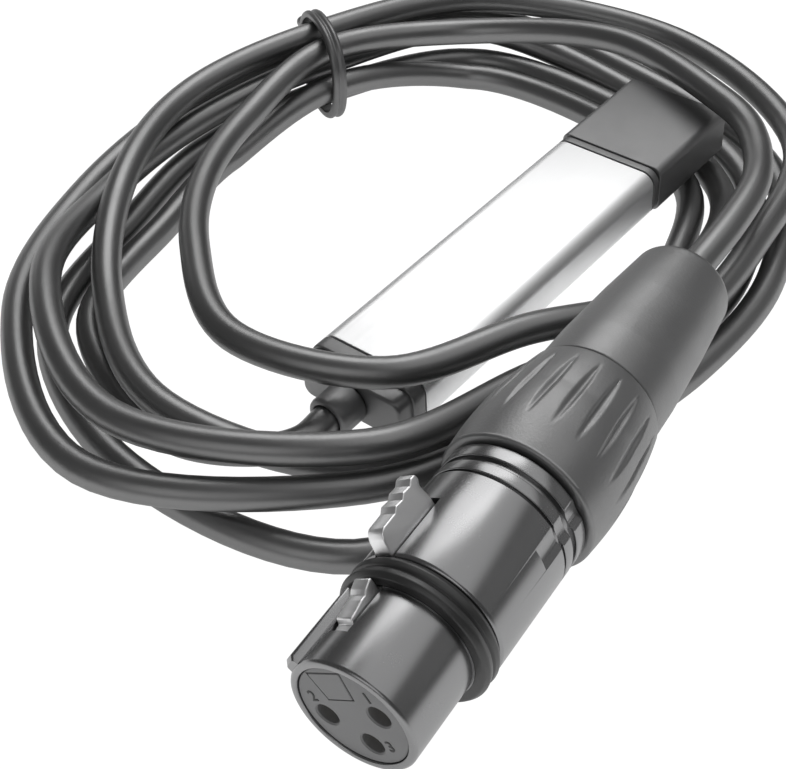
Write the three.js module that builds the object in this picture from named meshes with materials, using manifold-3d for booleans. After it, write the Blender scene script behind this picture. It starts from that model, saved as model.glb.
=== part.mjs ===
import * as THREE from 'three';
import { mergeVertices } from 'three/addons/utils/BufferGeometryUtils.js';
import Module from 'manifold-3d';

const wasm = await Module();
wasm.setup();

// Shared allowances
const clearance = 0.3;
const overrun = 1;

// Interface stick: a flat aluminium tube with plastic ends
const stickWidth = 18;
const stickHeight = 7.8;
const stickCornerRadius = 2.2;
const tubeWall = 0.9;
const stickTilt = THREE.MathUtils.degToRad(4);

// Front frame that carries the USB plug
const frameLip = 1.6;
const frameSpigotLength = 5;
const frameSideWall = 1.5;

// Rear cap and the moulded gland that holds the cord
const rearFlangeLength = 2.6;
const rearBodyLength = 2.8;
const rearBodyInset = 0.5;
const rearBodyCornerRadius = 1.6;
const rearSpigotLength = 4;
const glandRadius = 3.2;
const glandLength = 4.6;
const glandNeckRadius = 2.6;
const glandFlangeLength = 1.4;
const glandEdgeRadius = 0.5;

// USB plug
const plugHeight = 4.5;
const plugReach = 11.75;
const plugDepthInside = 7;
const plugWall = 0.3;
const plugCornerRadius = 0.5;
const windowSize = 2.4;
const windowSpacing = 5.6;
const windowSetback = 5.2;
const tongueSideGap = 0.2;
const tongueThickness = 1.8;
const tongueSetback = 0.8;
const plugContactWidth = 1;
const plugContactThickness = 0.25;
const plugContactPitchShare = 0.21;
const plugContactCount = 4;
const plugContactLength = 8.6;

// Pull-off cap over the plug
const capLength = 19.7;
const capFrontWall = 4.6;
const capCornerRadius = 1.3;
const capPocketSlack = 0.35;

// Circuit board and what sits on it
const boardLength = 44;
const boardSideGap = 0.9;
const boardRearGap = 2.8;
const boardThickness = 1.2;
const chipSize = 5;
const chipHeight = 1;
const driverLength = 4.9;
const driverWidth = 3.9;
const driverHeight = 1.3;
const crystalLength = 3.2;
const crystalWidth = 2.5;
const crystalHeight = 0.8;
const capacitorLength = 1.6;
const capacitorWidth = 0.8;
const capacitorCount = 4;
const capacitorPitch = 2.6;
const solderLift = 0.1;

// Cord and its conductors
const cordDiameter = 4.4;
const wireRadius = 0.55;
const wireCount = 3;
const wireSpacing = 1.5;
const wireRun = 3.4;
const wireNestShare = 0.8;
const wireBundleShare = 0.3;
const wireStationShares = [0, 0.3, 0.7, 1];

// Connector pose on the bench, at the centre of its front face
const connectorFace = new THREE.Vector3(-50, -37.4, 9.5);
const connectorHeading = THREE.MathUtils.degToRad(5.9);
const connectorRise = THREE.MathUtils.degToRad(4.8);
const connectorRoll = THREE.MathUtils.degToRad(-34);

// Connector shell
const noseRadius = 8;
const noseLength = 11.5;
const noseEdge = 0.45;
const ringSeatRadius = 8.15;
const ringWidth = 3.1;
const bodyRadius = 9.5;
const shellLength = 34.2;
const shellWall = 1;
const bodyGrooveDepth = 0.45;
const bodyGrooveWidth = 0.6;
const bodyGroovePlaces = [29.2, 31.3];
const keyRibWidth = 2.4;
const keyRibRise = 1.1;
const keyRibAngle = THREE.MathUtils.degToRad(30);
const sideChannelWidth = 3.2;
const sideChannelStart = 25.5;
const sideChannelDepth = 0.35;
const sideChannelAngle = THREE.MathUtils.degToRad(-97);

// Bumper ring
const ringRadius = 9.6;
const ringEdge = 0.55;
const ringValleyDepth = 0.35;

// Insert and its three contacts
const insertSetback = 0.35;
const insertLength = 20;
const contactCircle = 4.1;
const pinHoleRadius = 1.45;
const pinHoleDepth = 1.6;
const contactRadius = 1.6;
const contactBore = 1.2;
const contactLength = 16;
const contactCupLength = 4;
const contactCupRadius = 1.15;
const keyPlateWidth = 4.7;
const keyPlateHeight = 3.6;
const keyPlateRise = 0.2;
const keyPlateTop = 6;

// One-piece latch lever in the slot at the top of the shell
const leverWidth = 2.5;
const leverPivotPlace = 6;
const leverPivotHeight = 6.45;
const leverPinRadius = 0.45;
const leverPinReach = 1.1;
const leverBoss = 0.85;
const leverFloor = 7.1;
const leverBridgeTop = 7.85;
const tongueFront = 5;
const hookFront = 8.8;
const hookRear = 11.2;
const hookTop = 9.45;
const hookRampRise = 0.65;
const tongueChamfer = 0.35;
const thumbFront = 14.95;
const thumbLean = 0.55;
const thumbFrontTop = 12.2;
const thumbFirstStep = 18.3;
const thumbRear = 23.75;
const thumbTop = 13.5;
const thumbSteps = 3;
const thumbEdge = 0.35;
const thumbRiserShare = 0.35;
const channelFloor = 4.9;
const springThickness = 0.2;
const springLength = 7;

// Grip collar with pointed flutes, tail sleeve and the chuck inside
const collarLength = 19.1;
const collarFrontRadius = 10.35;
const collarMidRadius = 10.6;
const collarRearRadius = 9.2;
const collarEdge = 0.5;
const collarBore = 6.6;
const collarSpigotLength = 5.5;
const collarThreadClearance = 0.35;
const fluteCount = 20;
const fluteDepth = 0.5;
const fluteSteps = 4;
const fluteRows = 12;
const fluteStartShare = 0.25;
const fluteRunShare = 0.67;
const fluteTipShare = 0.2;
const fluteSwellShare = 0.5;
const collarBellyShare = 0.62;
const collarDropShare = 0.45;
const sleeveLength = 26.1;
const sleeveFrontRadius = 8.8;
const sleeveEndRadius = 6.8;
const sleeveEndRound = 1.2;
const sleeveCollarLength = 2.4;
const chuckFrontRadius = 5.6;
const chuckRearRadius = 4.4;
const chuckLength = 11;
const chuckSlots = 4;
const chuckSlotWidth = 0.9;

// Cord route: centre of the coil, mean radius and rise between stacked strands
const coilCentre = new THREE.Vector2(31, 15);
const coilRadius = 50;
const strandPitch = 4.95;
const stationsPerTurn = 12;
const coilSides = 6;
const coilStepsPerTurn = 24;
const cordSides = 8;
const leadInSteps = 8;
const leadOutSteps = 12;
const tieLift = 1.7;
const tieStation = 4;

// Strap round the bundle
const tieAngle = THREE.MathUtils.degToRad(60);
const tieInnerWidth = 16.6;
const tieInnerHeight = 15.2;
const tieThickness = 1.2;
const tieBandWidth = 2.4;
const tieNubLength = 2.6;
const tieNubRadius = 1;
const tieNubHeightShare = 0.2;
const tieSteps = 40;
const tieSquareness = 0.85;

// Radius of every pass at its twelve stations, as shares of the mean radius
const turnRadiusShares = [
  [1.12, 1.05, 0.822, 0.82, 0.852, 1.06, 0.96, 0.898, 0.74, 0.736, 0.734, 1.052],
  [1.13, 0.99, 0.93, 0.976, 1.012, 1.28, 1.432, 1.282, 0.966, 0.856, 0.792, 1.14],
  [1.3, 1.156, 0.992, 0.942, 0.972, 1.216, 1.17, 1.106, 0.938, 0.842, 0.852, 1.18],
  [1.42, 1.248, 1.086, 1.042, 1.078, 1.325, 1.271, 1.212, 1.038, 0.944, 0.99, 1.33],
  [1.276, 1.162, 0.932, 0.924, 0.944, 1.178, 1.064, 1.002, 0.844, 0.73, 0.69, 0.842],
  [0.864, 0.726, 0.69, 0.74, 0.912, 1.03, 1.02, 0.99],
];

// Height of every pass at the same stations, as shares of the strand pitch
const turnLevelShares = [
  [0, 0, 0, 0, 0.7, 0, 0, 0, 0, 0, 0, 0.45],
  [1.15, 1.15, 1.9, 1.97, 1.93, 1.92, 1.1, 0.97, 1.05, 0.98, 1.02, 1.95],
  [1.95, 1.95, 1.1, 1, 0.95, 1.1, 0.1, 0, 0, 0, 0, 0.95],
  [1.05, 1.05, 0.8, 0.95, 0.93, 0.95, 0.1, 0, 0, 0, 0, 0],
  [0, 0, 0, 0, 0, 0, 0, 0, 0.9, 1.2, 1.8, 1.85],
  [1.85, 1.85, 1.8, 1.8, 1.8, 1.95, 2.8, 3],
];

// Free stretches, points chosen by hand
const leadInPoints = [
  [-19.2, 3.2, 2.35],
];
const leadOutPoints = [
  [69.5, -16.5, 17.2], [62.5, -22, 17.5], [54.5, -25.8, 17.9], [44.5, -27.8, 17.5],
];

// Materials
function finish(color, roughness, metalness) {
  return new THREE.MeshStandardMaterial({ color, roughness, metalness });
}
const aluminium = () => finish(0xd9dadb, 0.32, 0.9);
const darkPlastic = () => finish(0x4c4c4e, 0.55, 0);
const blackMetal = () => finish(0x2f2f31, 0.38, 0.3);
const blackRubber = () => finish(0x1d1d1e, 0.6, 0);
const softRubber = () => finish(0x2b2b2c, 0.7, 0);
const brightSteel = () => finish(0xc9cacc, 0.25, 1);
const gold = () => finish(0xd8b45a, 0.3, 1);
const tongueWhite = () => finish(0xe8e8e4, 0.5, 0);
const boardGreen = () => finish(0x1f5a38, 0.5, 0);
const chipBlack = () => finish(0x1a1a1b, 0.5, 0);
const ceramic = () => finish(0xb79a72, 0.6, 0);
const wireColors = [0x9a9a9a, 0xb03028, 0xd8d8d4];

// Geometry helpers
function closed(geometry) {
  const bare = geometry.clone();
  for (const name of ['normal', 'uv']) bare.deleteAttribute(name);
  const merged = mergeVertices(bare);
  return new wasm.Manifold(new wasm.Mesh({
    numProp: 3,
    vertProperties: new Float32Array(merged.attributes.position.array),
    triVerts: new Uint32Array(merged.index.array),
  }));
}

function opened(solid) {
  const mesh = solid.getMesh();
  const geometry = new THREE.BufferGeometry();
  geometry.setAttribute('position', new THREE.BufferAttribute(mesh.vertProperties, 3));
  geometry.setIndex(new THREE.BufferAttribute(mesh.triVerts, 1));
  geometry.computeVertexNormals();
  return geometry;
}

function cut(base, ...tools) {
  let solid = closed(base);
  for (const tool of tools) solid = solid.subtract(closed(tool));
  return opened(solid);
}

function join(base, ...others) {
  let solid = closed(base);
  for (const other of others) solid = solid.add(closed(other));
  return opened(solid);
}

function box(x0, x1, y0, y1, z0, z1) {
  const geometry = new THREE.BoxGeometry(x1 - x0, y1 - y0, z1 - z0);
  return geometry.translate((x0 + x1) / 2, (y0 + y1) / 2, (z0 + z1) / 2);
}

// Solid of revolution about +X from [place along X, radius] points
function turned(points, segments) {
  const profile = points.map(([x, r]) => new THREE.Vector2(r, x));
  const geometry = new THREE.LatheGeometry(profile, segments);
  return geometry.rotateZ(-Math.PI / 2);
}

function ringOf(points, segments) {
  return turned([...points, points[0]], segments);
}

function roundBar(x0, x1, radius, segments) {
  return turned([[x0, 0], [x0, radius], [x1, radius], [x1, 0]], segments);
}

// Rounded rectangle in the YZ plane, extruded along +X from x0 to x1
function roundedBar(x0, x1, width, height, radius, centreZ) {
  const shape = new THREE.Shape();
  const w = width / 2;
  const h = height / 2;
  shape.moveTo(-w + radius, -h);
  shape.lineTo(w - radius, -h);
  shape.absarc(w - radius, -h + radius, radius, -Math.PI / 2, 0, false);
  shape.lineTo(w, h - radius);
  shape.absarc(w - radius, h - radius, radius, 0, Math.PI / 2, false);
  shape.lineTo(-w + radius, h);
  shape.absarc(-w + radius, h - radius, radius, Math.PI / 2, Math.PI, false);
  shape.lineTo(-w, -h + radius);
  shape.absarc(-w + radius, -h + radius, radius, Math.PI, Math.PI * 1.5, false);
  const options = { depth: x1 - x0, bevelEnabled: false, curveSegments: 5 };
  const geometry = new THREE.ExtrudeGeometry(shape, options);
  geometry.rotateX(Math.PI / 2).rotateZ(Math.PI / 2);
  return geometry.translate(x0, 0, centreZ);
}

// Outline in the XZ plane, extruded across Y about the middle
function sidePlate(outline, width) {
  const shape = new THREE.Shape(outline.map(([x, z]) => new THREE.Vector2(x, z)));
  const geometry = new THREE.ExtrudeGeometry(shape, { depth: width, bevelEnabled: false });
  return geometry.rotateX(Math.PI / 2).translate(0, width / 2, 0);
}

function aroundX(geometry, angle) {
  return geometry.rotateX(angle);
}

// Closed tube along a list of points, with a frame that turns as little as it can
function tubeAlong(points, radius, sides, startWay, endWay) {
  const ways = points.map((point, i) => {
    if (i === 0 && startWay) return startWay.clone();
    if (i === points.length - 1 && endWay) return endWay.clone();
    const before = points[Math.max(i - 1, 0)];
    const after = points[Math.min(i + 1, points.length - 1)];
    return after.clone().sub(before).normalize();
  });
  let side = new THREE.Vector3(0, 0, 1).cross(ways[0]).normalize();
  const positions = [];
  points.forEach((point, i) => {
    side = side.clone().addScaledVector(ways[i], -side.dot(ways[i])).normalize();
    const up = ways[i].clone().cross(side);
    for (let k = 0; k < sides; k += 1) {
      const turn = (k + 0.5) / sides * Math.PI * 2;
      const corner = point.clone()
        .addScaledVector(side, Math.cos(turn) * radius)
        .addScaledVector(up, Math.sin(turn) * radius);
      positions.push(corner.x, corner.y, corner.z);
    }
  });
  const index = [];
  for (let i = 0; i < points.length - 1; i += 1) {
    for (let k = 0; k < sides; k += 1) {
      const next = (k + 1) % sides;
      const a = i * sides + k;
      const b = i * sides + next;
      const c = a + sides;
      const d = b + sides;
      index.push(a, b, c, b, d, c);
    }
  }
  const last = (points.length - 1) * sides;
  for (let k = 1; k < sides - 1; k += 1) {
    index.push(0, k + 1, k);
    index.push(last, last + k, last + k + 1);
  }
  const geometry = new THREE.BufferGeometry();
  geometry.setAttribute('position', new THREE.Float32BufferAttribute(positions, 3));
  geometry.setIndex(index);
  geometry.computeVertexNormals();
  return geometry;
}

function place(group, name, geometry, material) {
  const mesh = new THREE.Mesh(geometry, material);
  mesh.name = name;
  group.add(mesh);
  return mesh;
}

// Places along the stick, measured from the rear face of the rear cap
const tubeStart = rearFlangeLength + rearBodyLength;
const boardStart = tubeStart + rearSpigotLength + boardRearGap;
const boardEnd = boardStart + boardLength;
const plugBack = boardEnd + clearance;
const frameEnd = plugBack + plugDepthInside;
const tubeEnd = frameEnd - frameLip;
const plugEnd = frameEnd + plugReach;
const capStart = frameEnd + clearance;
const capEnd = capStart + capLength;
const stickMiddle = stickHeight / 2;
const boreWidth = stickWidth - 2 * tubeWall;
const boreHeight = stickHeight - 2 * tubeWall;
const boreCornerRadius = stickCornerRadius - tubeWall;
const spigotWidth = boreWidth - 2 * clearance;
const spigotHeight = boreHeight - 2 * clearance;
const spigotCornerRadius = boreCornerRadius - clearance;
const plugWidth = spigotWidth - 2 * (frameSideWall + clearance);
const tongueWidth = plugWidth - 2 * (plugWall + tongueSideGap);
const boardWidth = boreWidth - 2 * boardSideGap;

function stickTube() {
  const outside = roundedBar(tubeStart, tubeEnd, stickWidth, stickHeight, stickCornerRadius, stickMiddle);
  const inside = roundedBar(
    tubeStart - overrun, tubeEnd + overrun, boreWidth, boreHeight, boreCornerRadius, stickMiddle,
  );
  return cut(outside, inside);
}

function frontFrame() {
  const lip = roundedBar(
    tubeEnd + clearance, frameEnd, stickWidth, stickHeight, stickCornerRadius, stickMiddle,
  );
  const spigot = roundedBar(
    tubeEnd - frameSpigotLength, tubeEnd + clearance + overrun / 2,
    spigotWidth, spigotHeight, spigotCornerRadius, stickMiddle,
  );
  const plugHole = roundedBar(
    tubeEnd - frameSpigotLength - overrun, frameEnd + overrun,
    plugWidth + 2 * clearance, plugHeight + 2 * clearance, plugCornerRadius, stickMiddle,
  );
  return cut(join(lip, spigot), plugHole);
}

function rearCap() {
  const flange = roundedBar(
    rearBodyLength, tubeStart - clearance, stickWidth, stickHeight, stickCornerRadius, stickMiddle,
  );
  const body = roundedBar(
    0, rearBodyLength + overrun, stickWidth - 2 * rearBodyInset, stickHeight - 2 * rearBodyInset,
    rearBodyCornerRadius, stickMiddle,
  );
  const spigot = roundedBar(
    tubeStart - clearance - overrun, tubeStart + rearSpigotLength,
    spigotWidth, spigotHeight, spigotCornerRadius, stickMiddle,
  );
  const neckHole = roundBar(-overrun, tubeStart + overrun, glandNeckRadius + clearance, 24);
  const flangeHole = roundBar(
    tubeStart - clearance - glandFlangeLength, tubeStart + rearSpigotLength + overrun,
    boreHeight / 2 - tubeWall, 24,
  );
  neckHole.translate(0, 0, stickMiddle);
  flangeHole.translate(0, 0, stickMiddle);
  return cut(join(flange, body, spigot), neckHole, flangeHole);
}

// The gland's collar stands behind the cap, its neck passes through it and ends in a flange
const glandInnerFlange = boreHeight / 2 - tubeWall - clearance;
const glandFlangeStart = tubeStart - glandFlangeLength;
const glandFlangeEnd = tubeStart + clearance;
const glandRear = -clearance - glandLength;

function cordGland() {
  const r = glandRadius;
  const geometry = turned([
    [glandRear, 0], [glandRear, r - glandEdgeRadius], [glandRear + glandEdgeRadius, r],
    [-clearance, r], [-clearance, glandNeckRadius],
    [glandFlangeStart, glandNeckRadius], [glandFlangeStart, glandInnerFlange],
    [glandFlangeEnd, glandInnerFlange], [glandFlangeEnd, 0],
  ], 24);
  return geometry.translate(0, 0, stickMiddle);
}

function usbShell() {
  const outside = roundedBar(plugBack, plugEnd, plugWidth, plugHeight, plugCornerRadius, stickMiddle);
  const inside = roundedBar(
    plugBack - overrun, plugEnd + overrun, plugWidth - 2 * plugWall, plugHeight - 2 * plugWall,
    plugCornerRadius - plugWall, stickMiddle,
  );
  const windows = [];
  for (const side of [-1, 1]) {
    const middle = side * windowSpacing / 2;
    const front = plugEnd - windowSetback;
    windows.push(box(
      front - windowSize, front, middle - windowSize / 2, middle + windowSize / 2,
      -overrun, stickHeight + overrun,
    ));
  }
  return cut(outside, inside, ...windows);
}

// The tongue lies against the upper half of the plug, its contacts on the lower face
const plugInsideTop = stickMiddle + plugHeight / 2 - plugWall;
const tongueTop = plugInsideTop - clearance;
const tongueBottom = tongueTop - tongueThickness;
const tongueFrontEnd = plugEnd - tongueSetback;
const plugContactFront = tongueFrontEnd - tongueSetback;

function usbTongue() {
  const blade = box(
    plugBack + clearance, tongueFrontEnd, -tongueWidth / 2, tongueWidth / 2, tongueBottom, tongueTop,
  );
  const block = box(
    plugBack + clearance, frameEnd - clearance, -tongueWidth / 2, tongueWidth / 2,
    stickMiddle - plugHeight / 2 + plugWall + clearance, tongueTop,
  );
  const slots = [];
  for (let i = 0; i < plugContactCount; i += 1) {
    const y = plugContactY(i);
    const half = plugContactWidth / 2 + clearance;
    slots.push(box(
      plugBack - overrun, plugContactFront + clearance, y - half, y + half,
      -overrun, tongueBottom + plugContactThickness + clearance,
    ));
  }
  return cut(join(blade, block), ...slots);
}

function plugContactY(i) {
  return (i - (plugContactCount - 1) / 2) * plugContactPitchShare * tongueWidth;
}

function usbContact(i) {
  const y = plugContactY(i);
  const half = plugContactWidth / 2;
  return box(
    plugContactFront - plugContactLength - plugDepthInside + clearance, plugContactFront,
    y - half, y + half, tongueBottom, tongueBottom + plugContactThickness,
  );
}

function usbCap() {
  const outside = roundedBar(capStart, capEnd, stickWidth, stickHeight, capCornerRadius, stickMiddle);
  const pocket = roundedBar(
    capStart - overrun, capEnd - capFrontWall, plugWidth + 2 * capPocketSlack,
    plugHeight + 2 * capPocketSlack, plugCornerRadius, stickMiddle,
  );
  return cut(outside, pocket);
}

// Board and parts, lengths measured along the stick
const boardBottom = stickMiddle - boardThickness / 2 - solderLift;
const boardTop = boardBottom + boardThickness;

function onBoard(startShare, y, length, width, height) {
  const start = boardStart + startShare * boardLength;
  const bottom = boardTop + solderLift;
  return box(start, start + length, y - width / 2, y + width / 2, bottom, bottom + height);
}

const chipShare = 0.58;
const driverShare = 0.28;
const crystalShare = 0.8;
const capacitorStartShare = 0.44;

function buildStick() {
  const stick = new THREE.Group();
  place(stick, 'stick_tube', stickTube(), aluminium());
  place(stick, 'front_frame', frontFrame(), darkPlastic());
  place(stick, 'rear_cap', rearCap(), darkPlastic());
  place(stick, 'cord_gland', cordGland(), darkPlastic());
  place(stick, 'usb_shell', usbShell(), brightSteel());
  place(stick, 'usb_tongue', usbTongue(), tongueWhite());
  for (let i = 0; i < plugContactCount; i += 1) {
    place(stick, `usb_contact_${i + 1}`, usbContact(i), gold());
  }
  place(stick, 'usb_cap', usbCap(), darkPlastic());

  const board = box(boardStart, boardEnd, -boardWidth / 2, boardWidth / 2, boardBottom, boardTop);
  place(stick, 'circuit_board', board, boardGreen());
  const chip = onBoard(chipShare, 0, chipSize, chipSize, chipHeight);
  place(stick, 'usb_bridge_chip', chip, chipBlack());
  const driver = onBoard(driverShare, 0, driverLength, driverWidth, driverHeight);
  place(stick, 'line_driver_chip', driver, chipBlack());
  const crystal = onBoard(crystalShare, boardWidth / 4, crystalLength, crystalWidth, crystalHeight);
  place(stick, 'clock_crystal', crystal, brightSteel());
  for (let i = 0; i < capacitorCount; i += 1) {
    const y = (i - (capacitorCount - 1) / 2) * capacitorPitch;
    const part = onBoard(capacitorStartShare, y, capacitorLength, capacitorWidth, capacitorWidth);
    place(stick, `chip_capacitor_${i + 1}`, part, ceramic());
  }
  for (let i = 0; i < wireCount; i += 1) {
    const y = (i - (wireCount - 1) / 2) * wireSpacing;
    place(stick, `stick_wire_${i + 1}`, stickWire(y), finish(wireColors[i], 0.5, 0));
  }
  return stick;
}

// A conductor leaves the gland's inner face and rises to its solder pad on the board
function stickWire(y) {
  const start = glandFlangeEnd + clearance;
  const nearY = y * wireNestShare;
  const padZ = boardTop + wireRadius + solderLift;
  const along = new THREE.Vector3(1, 0, 0);
  const points = [
    new THREE.Vector3(start, nearY, stickMiddle),
    new THREE.Vector3(tubeStart + rearSpigotLength, nearY, stickMiddle),
    new THREE.Vector3(boardStart - wireRadius, y, padZ),
    new THREE.Vector3(boardStart + wireRun, y * 2, padZ),
  ];
  return tubeAlong(points, wireRadius, cordSides, along, along);
}

// Connector: +X runs from the front face to the tail, +Z points at the latch
const ringStart = noseLength + clearance / 2;
const ringEnd = ringStart + ringWidth;
const bodyStart = ringEnd + clearance / 2;
const shellBore = noseRadius - shellWall;
const insertRadius = shellBore - clearance;
const rearBore = bodyRadius - shellWall - bodyGrooveDepth;
const slotHalf = leverWidth / 2 + clearance;
const collarStart = shellLength + clearance;
const collarEnd = collarStart + collarLength;
const spigotRadius = rearBore - collarThreadClearance;
const sleeveStart = collarEnd + clearance;
const connectorLength = sleeveStart + sleeveLength;

function connectorShell() {
  const grooves = bodyGroovePlaces.flatMap((x) => [
    [x, bodyRadius], [x, bodyRadius - bodyGrooveDepth],
    [x + bodyGrooveWidth, bodyRadius - bodyGrooveDepth], [x + bodyGrooveWidth, bodyRadius],
  ]);
  const shell = ringOf([
    [0, shellBore], [0, noseRadius - noseEdge], [noseEdge, noseRadius],
    [noseLength, noseRadius], [noseLength, ringSeatRadius], [bodyStart, ringSeatRadius],
    [bodyStart, bodyRadius - noseEdge], [bodyStart + noseEdge, bodyRadius],
    ...grooves,
    [shellLength, bodyRadius], [shellLength, rearBore],
    [insertLength + insertSetback, rearBore], [insertLength + insertSetback, shellBore],
  ], 48);
  const rib = aroundX(
    box(
      0, ringStart - clearance, -keyRibWidth / 2, keyRibWidth / 2,
      shellBore + clearance, noseRadius + keyRibRise,
    ),
    -keyRibAngle,
  );
  const slot = box(tongueFront - clearance, thumbRear + 2 * clearance, -slotHalf, slotHalf, 0, thumbTop);
  const channel = aroundX(
    box(
      sideChannelStart, shellLength + overrun, -sideChannelWidth / 2, sideChannelWidth / 2,
      bodyRadius - sideChannelDepth, thumbTop,
    ),
    -sideChannelAngle,
  );
  return cut(join(shell, rib), slot, channel, pinHole());
}

// Blind cross hole for the lever's pin, into both walls of the slot
function pinHole() {
  const reach = slotHalf + leverPinReach + clearance;
  const hole = roundBar(-reach, reach, leverPinRadius + clearance, 12);
  return hole.rotateZ(Math.PI / 2).translate(leverPivotPlace, 0, leverPivotHeight);
}

function leverPin() {
  const half = slotHalf + leverPinReach;
  const pin = roundBar(-half, half, leverPinRadius, 12);
  return pin.rotateZ(Math.PI / 2).translate(leverPivotPlace, 0, leverPivotHeight);
}

// Side outline of the lever: pivot eye, hook, bridge under the ring, stepped thumb pad
function latchLever() {
  const stepRun = (thumbRear - thumbFirstStep) / thumbSteps;
  const stepRise = (thumbTop - thumbFrontTop) / thumbSteps;
  const steps = [];
  for (let i = 0; i < thumbSteps; i += 1) {
    const x = thumbFirstStep + stepRun * i;
    const z = thumbFrontTop + stepRise * i;
    steps.push([x, z], [x + stepRun * thumbRiserShare, z + stepRise]);
  }
  const outline = [
    [tongueFront, leverFloor], [leverPivotPlace + leverBoss, leverFloor],
    [thumbRear, leverFloor], [thumbRear - thumbEdge, thumbFrontTop],
    [thumbRear, thumbTop - thumbEdge], [thumbRear - thumbEdge, thumbTop],
    ...steps.reverse(),
    [thumbFront + thumbLean + thumbEdge, thumbFrontTop],
    [thumbFront + thumbLean, thumbFrontTop - thumbEdge],
    [thumbFront, bodyRadius], [thumbFront, leverBridgeTop],
    [hookRear, leverBridgeTop], [hookRear, hookTop], [hookFront, noseRadius + hookRampRise],
    [tongueFront + tongueChamfer, noseRadius], [tongueFront, noseRadius - tongueChamfer],
  ];
  const plate = sidePlate(outline, leverWidth);
  const eye = roundBar(-leverWidth / 2, leverWidth / 2, leverBoss + clearance, 16);
  eye.rotateZ(Math.PI / 2).translate(leverPivotPlace, 0, leverPivotHeight);
  const hole = roundBar(-leverWidth, leverWidth, leverPinRadius + clearance, 12);
  hole.rotateZ(Math.PI / 2).translate(leverPivotPlace, 0, leverPivotHeight);
  return cut(join(plate, eye), hole);
}

// Bent strip that stands in the insert's channel and pushes the thumb pad out
function latchSpring() {
  const foot = channelFloor + clearance;
  const top = leverFloor - clearance;
  const x = thumbFront + clearance;
  const outline = [
    [x, foot], [x + springThickness, foot],
    [x + springLength, top - springThickness], [x + springLength, top],
    [x + springLength - springThickness, top], [x, foot + springThickness],
  ];
  return sidePlate(outline, leverWidth - clearance);
}

function bumperRing() {
  const middle = (ringStart + ringEnd) / 2;
  const bore = ringSeatRadius + clearance;
  return ringOf([
    [ringStart, bore], [ringStart, ringRadius - ringEdge], [ringStart + ringEdge, ringRadius],
    [middle - ringEdge / 2, ringRadius], [middle, ringRadius - ringValleyDepth],
    [middle + ringEdge / 2, ringRadius], [ringEnd - ringEdge, ringRadius],
    [ringEnd, ringRadius - ringEdge], [ringEnd, bore],
  ], 48);
}

// Contacts 1 and 2 lie to the sides and contact 3 opposite the latch
const contactPlaces = [[-contactCircle, 0], [contactCircle, 0], [0, -contactCircle]];

function connectorInsert() {
  const back = insertSetback + insertLength;
  const body = roundBar(insertSetback, back - clearance, insertRadius, 40);
  const plate = box(
    insertSetback - keyPlateRise, insertSetback + keyPlateRise, -keyPlateWidth / 2, keyPlateWidth / 2,
    keyPlateTop - keyPlateHeight, keyPlateTop,
  );
  const channel = box(
    tongueFront - clearance, back + overrun, -slotHalf, slotHalf, channelFloor, noseRadius,
  );
  const tools = [channel, pinHole()];
  for (const [y, z] of contactPlaces) {
    const mouth = roundBar(-overrun, pinHoleDepth + overrun, pinHoleRadius, 20);
    const bore = roundBar(pinHoleDepth, back + overrun, contactRadius + clearance, 20);
    mouth.translate(0, y, z);
    bore.translate(0, y, z);
    tools.push(mouth, bore);
  }
  return cut(join(body, plate), ...tools);
}

function connectorContact(y, z) {
  const start = pinHoleDepth + clearance;
  const end = start + contactLength;
  const cupEnd = end + contactCupLength;
  const geometry = turned([
    [end, 0], [end - contactBore, contactBore], [start, contactBore], [start, contactRadius],
    [end, contactRadius], [end, contactCupRadius], [cupEnd, contactCupRadius], [cupEnd, 0],
  ], 16);
  return geometry.translate(0, y, z);
}

// Wire from a contact's cup back to the chuck
function connectorWire(y, z) {
  const start = pinHoleDepth + clearance * 2 + contactLength + contactCupLength;
  const end = chuckStart - clearance;
  const along = new THREE.Vector3(1, 0, 0);
  const points = wireStationShares.map((share) => {
    const pull = 1 + (wireBundleShare - 1) * share;
    return new THREE.Vector3(start + (end - start) * share, y * pull, z * pull);
  });
  return tubeAlong(points, wireRadius, cordSides, along, along);
}

const chuckStart = collarStart - clearance;

function cableChuck() {
  const end = chuckStart + chuckLength;
  const body = ringOf([
    [chuckStart, wireSpacing + clearance], [chuckStart, chuckFrontRadius],
    [chuckStart + chuckLength / 2, chuckFrontRadius], [end, chuckRearRadius],
    [end, wireSpacing + clearance],
  ], 24);
  const slots = [];
  for (let i = 0; i < chuckSlots / 2; i += 1) {
    slots.push(aroundX(
      box(
        chuckStart + chuckLength / 3, end + overrun, -chuckSlotWidth / 2, chuckSlotWidth / 2,
        -chuckFrontRadius, chuckFrontRadius,
      ),
      (i * 2 / chuckSlots + 1 / chuckSlots) * Math.PI,
    ));
  }
  return cut(body, ...slots);
}

// Collar radius along its length, and the depth of the pointed flutes
function collarRadiusAt(share) {
  const rise = Math.sin(Math.min(share / collarBellyShare, 1) * Math.PI);
  const belly = rise * (collarMidRadius - collarFrontRadius);
  const drop = Math.max(share - collarDropShare, 0) / (1 - collarDropShare);
  return collarFrontRadius + belly - (collarFrontRadius - collarRearRadius) * drop * drop;
}

function fluteDepthAt(share, turn) {
  const run = Math.min(Math.max((share - fluteStartShare) / fluteRunShare, 0), 1);
  const along = Math.sin(Math.PI * run);
  const across = Math.abs((turn * fluteCount) % 1 - 0.5) * 2;
  const width = fluteTipShare + fluteSwellShare * along;
  return fluteDepth * along * Math.max(0, 1 - across / width);
}

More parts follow.
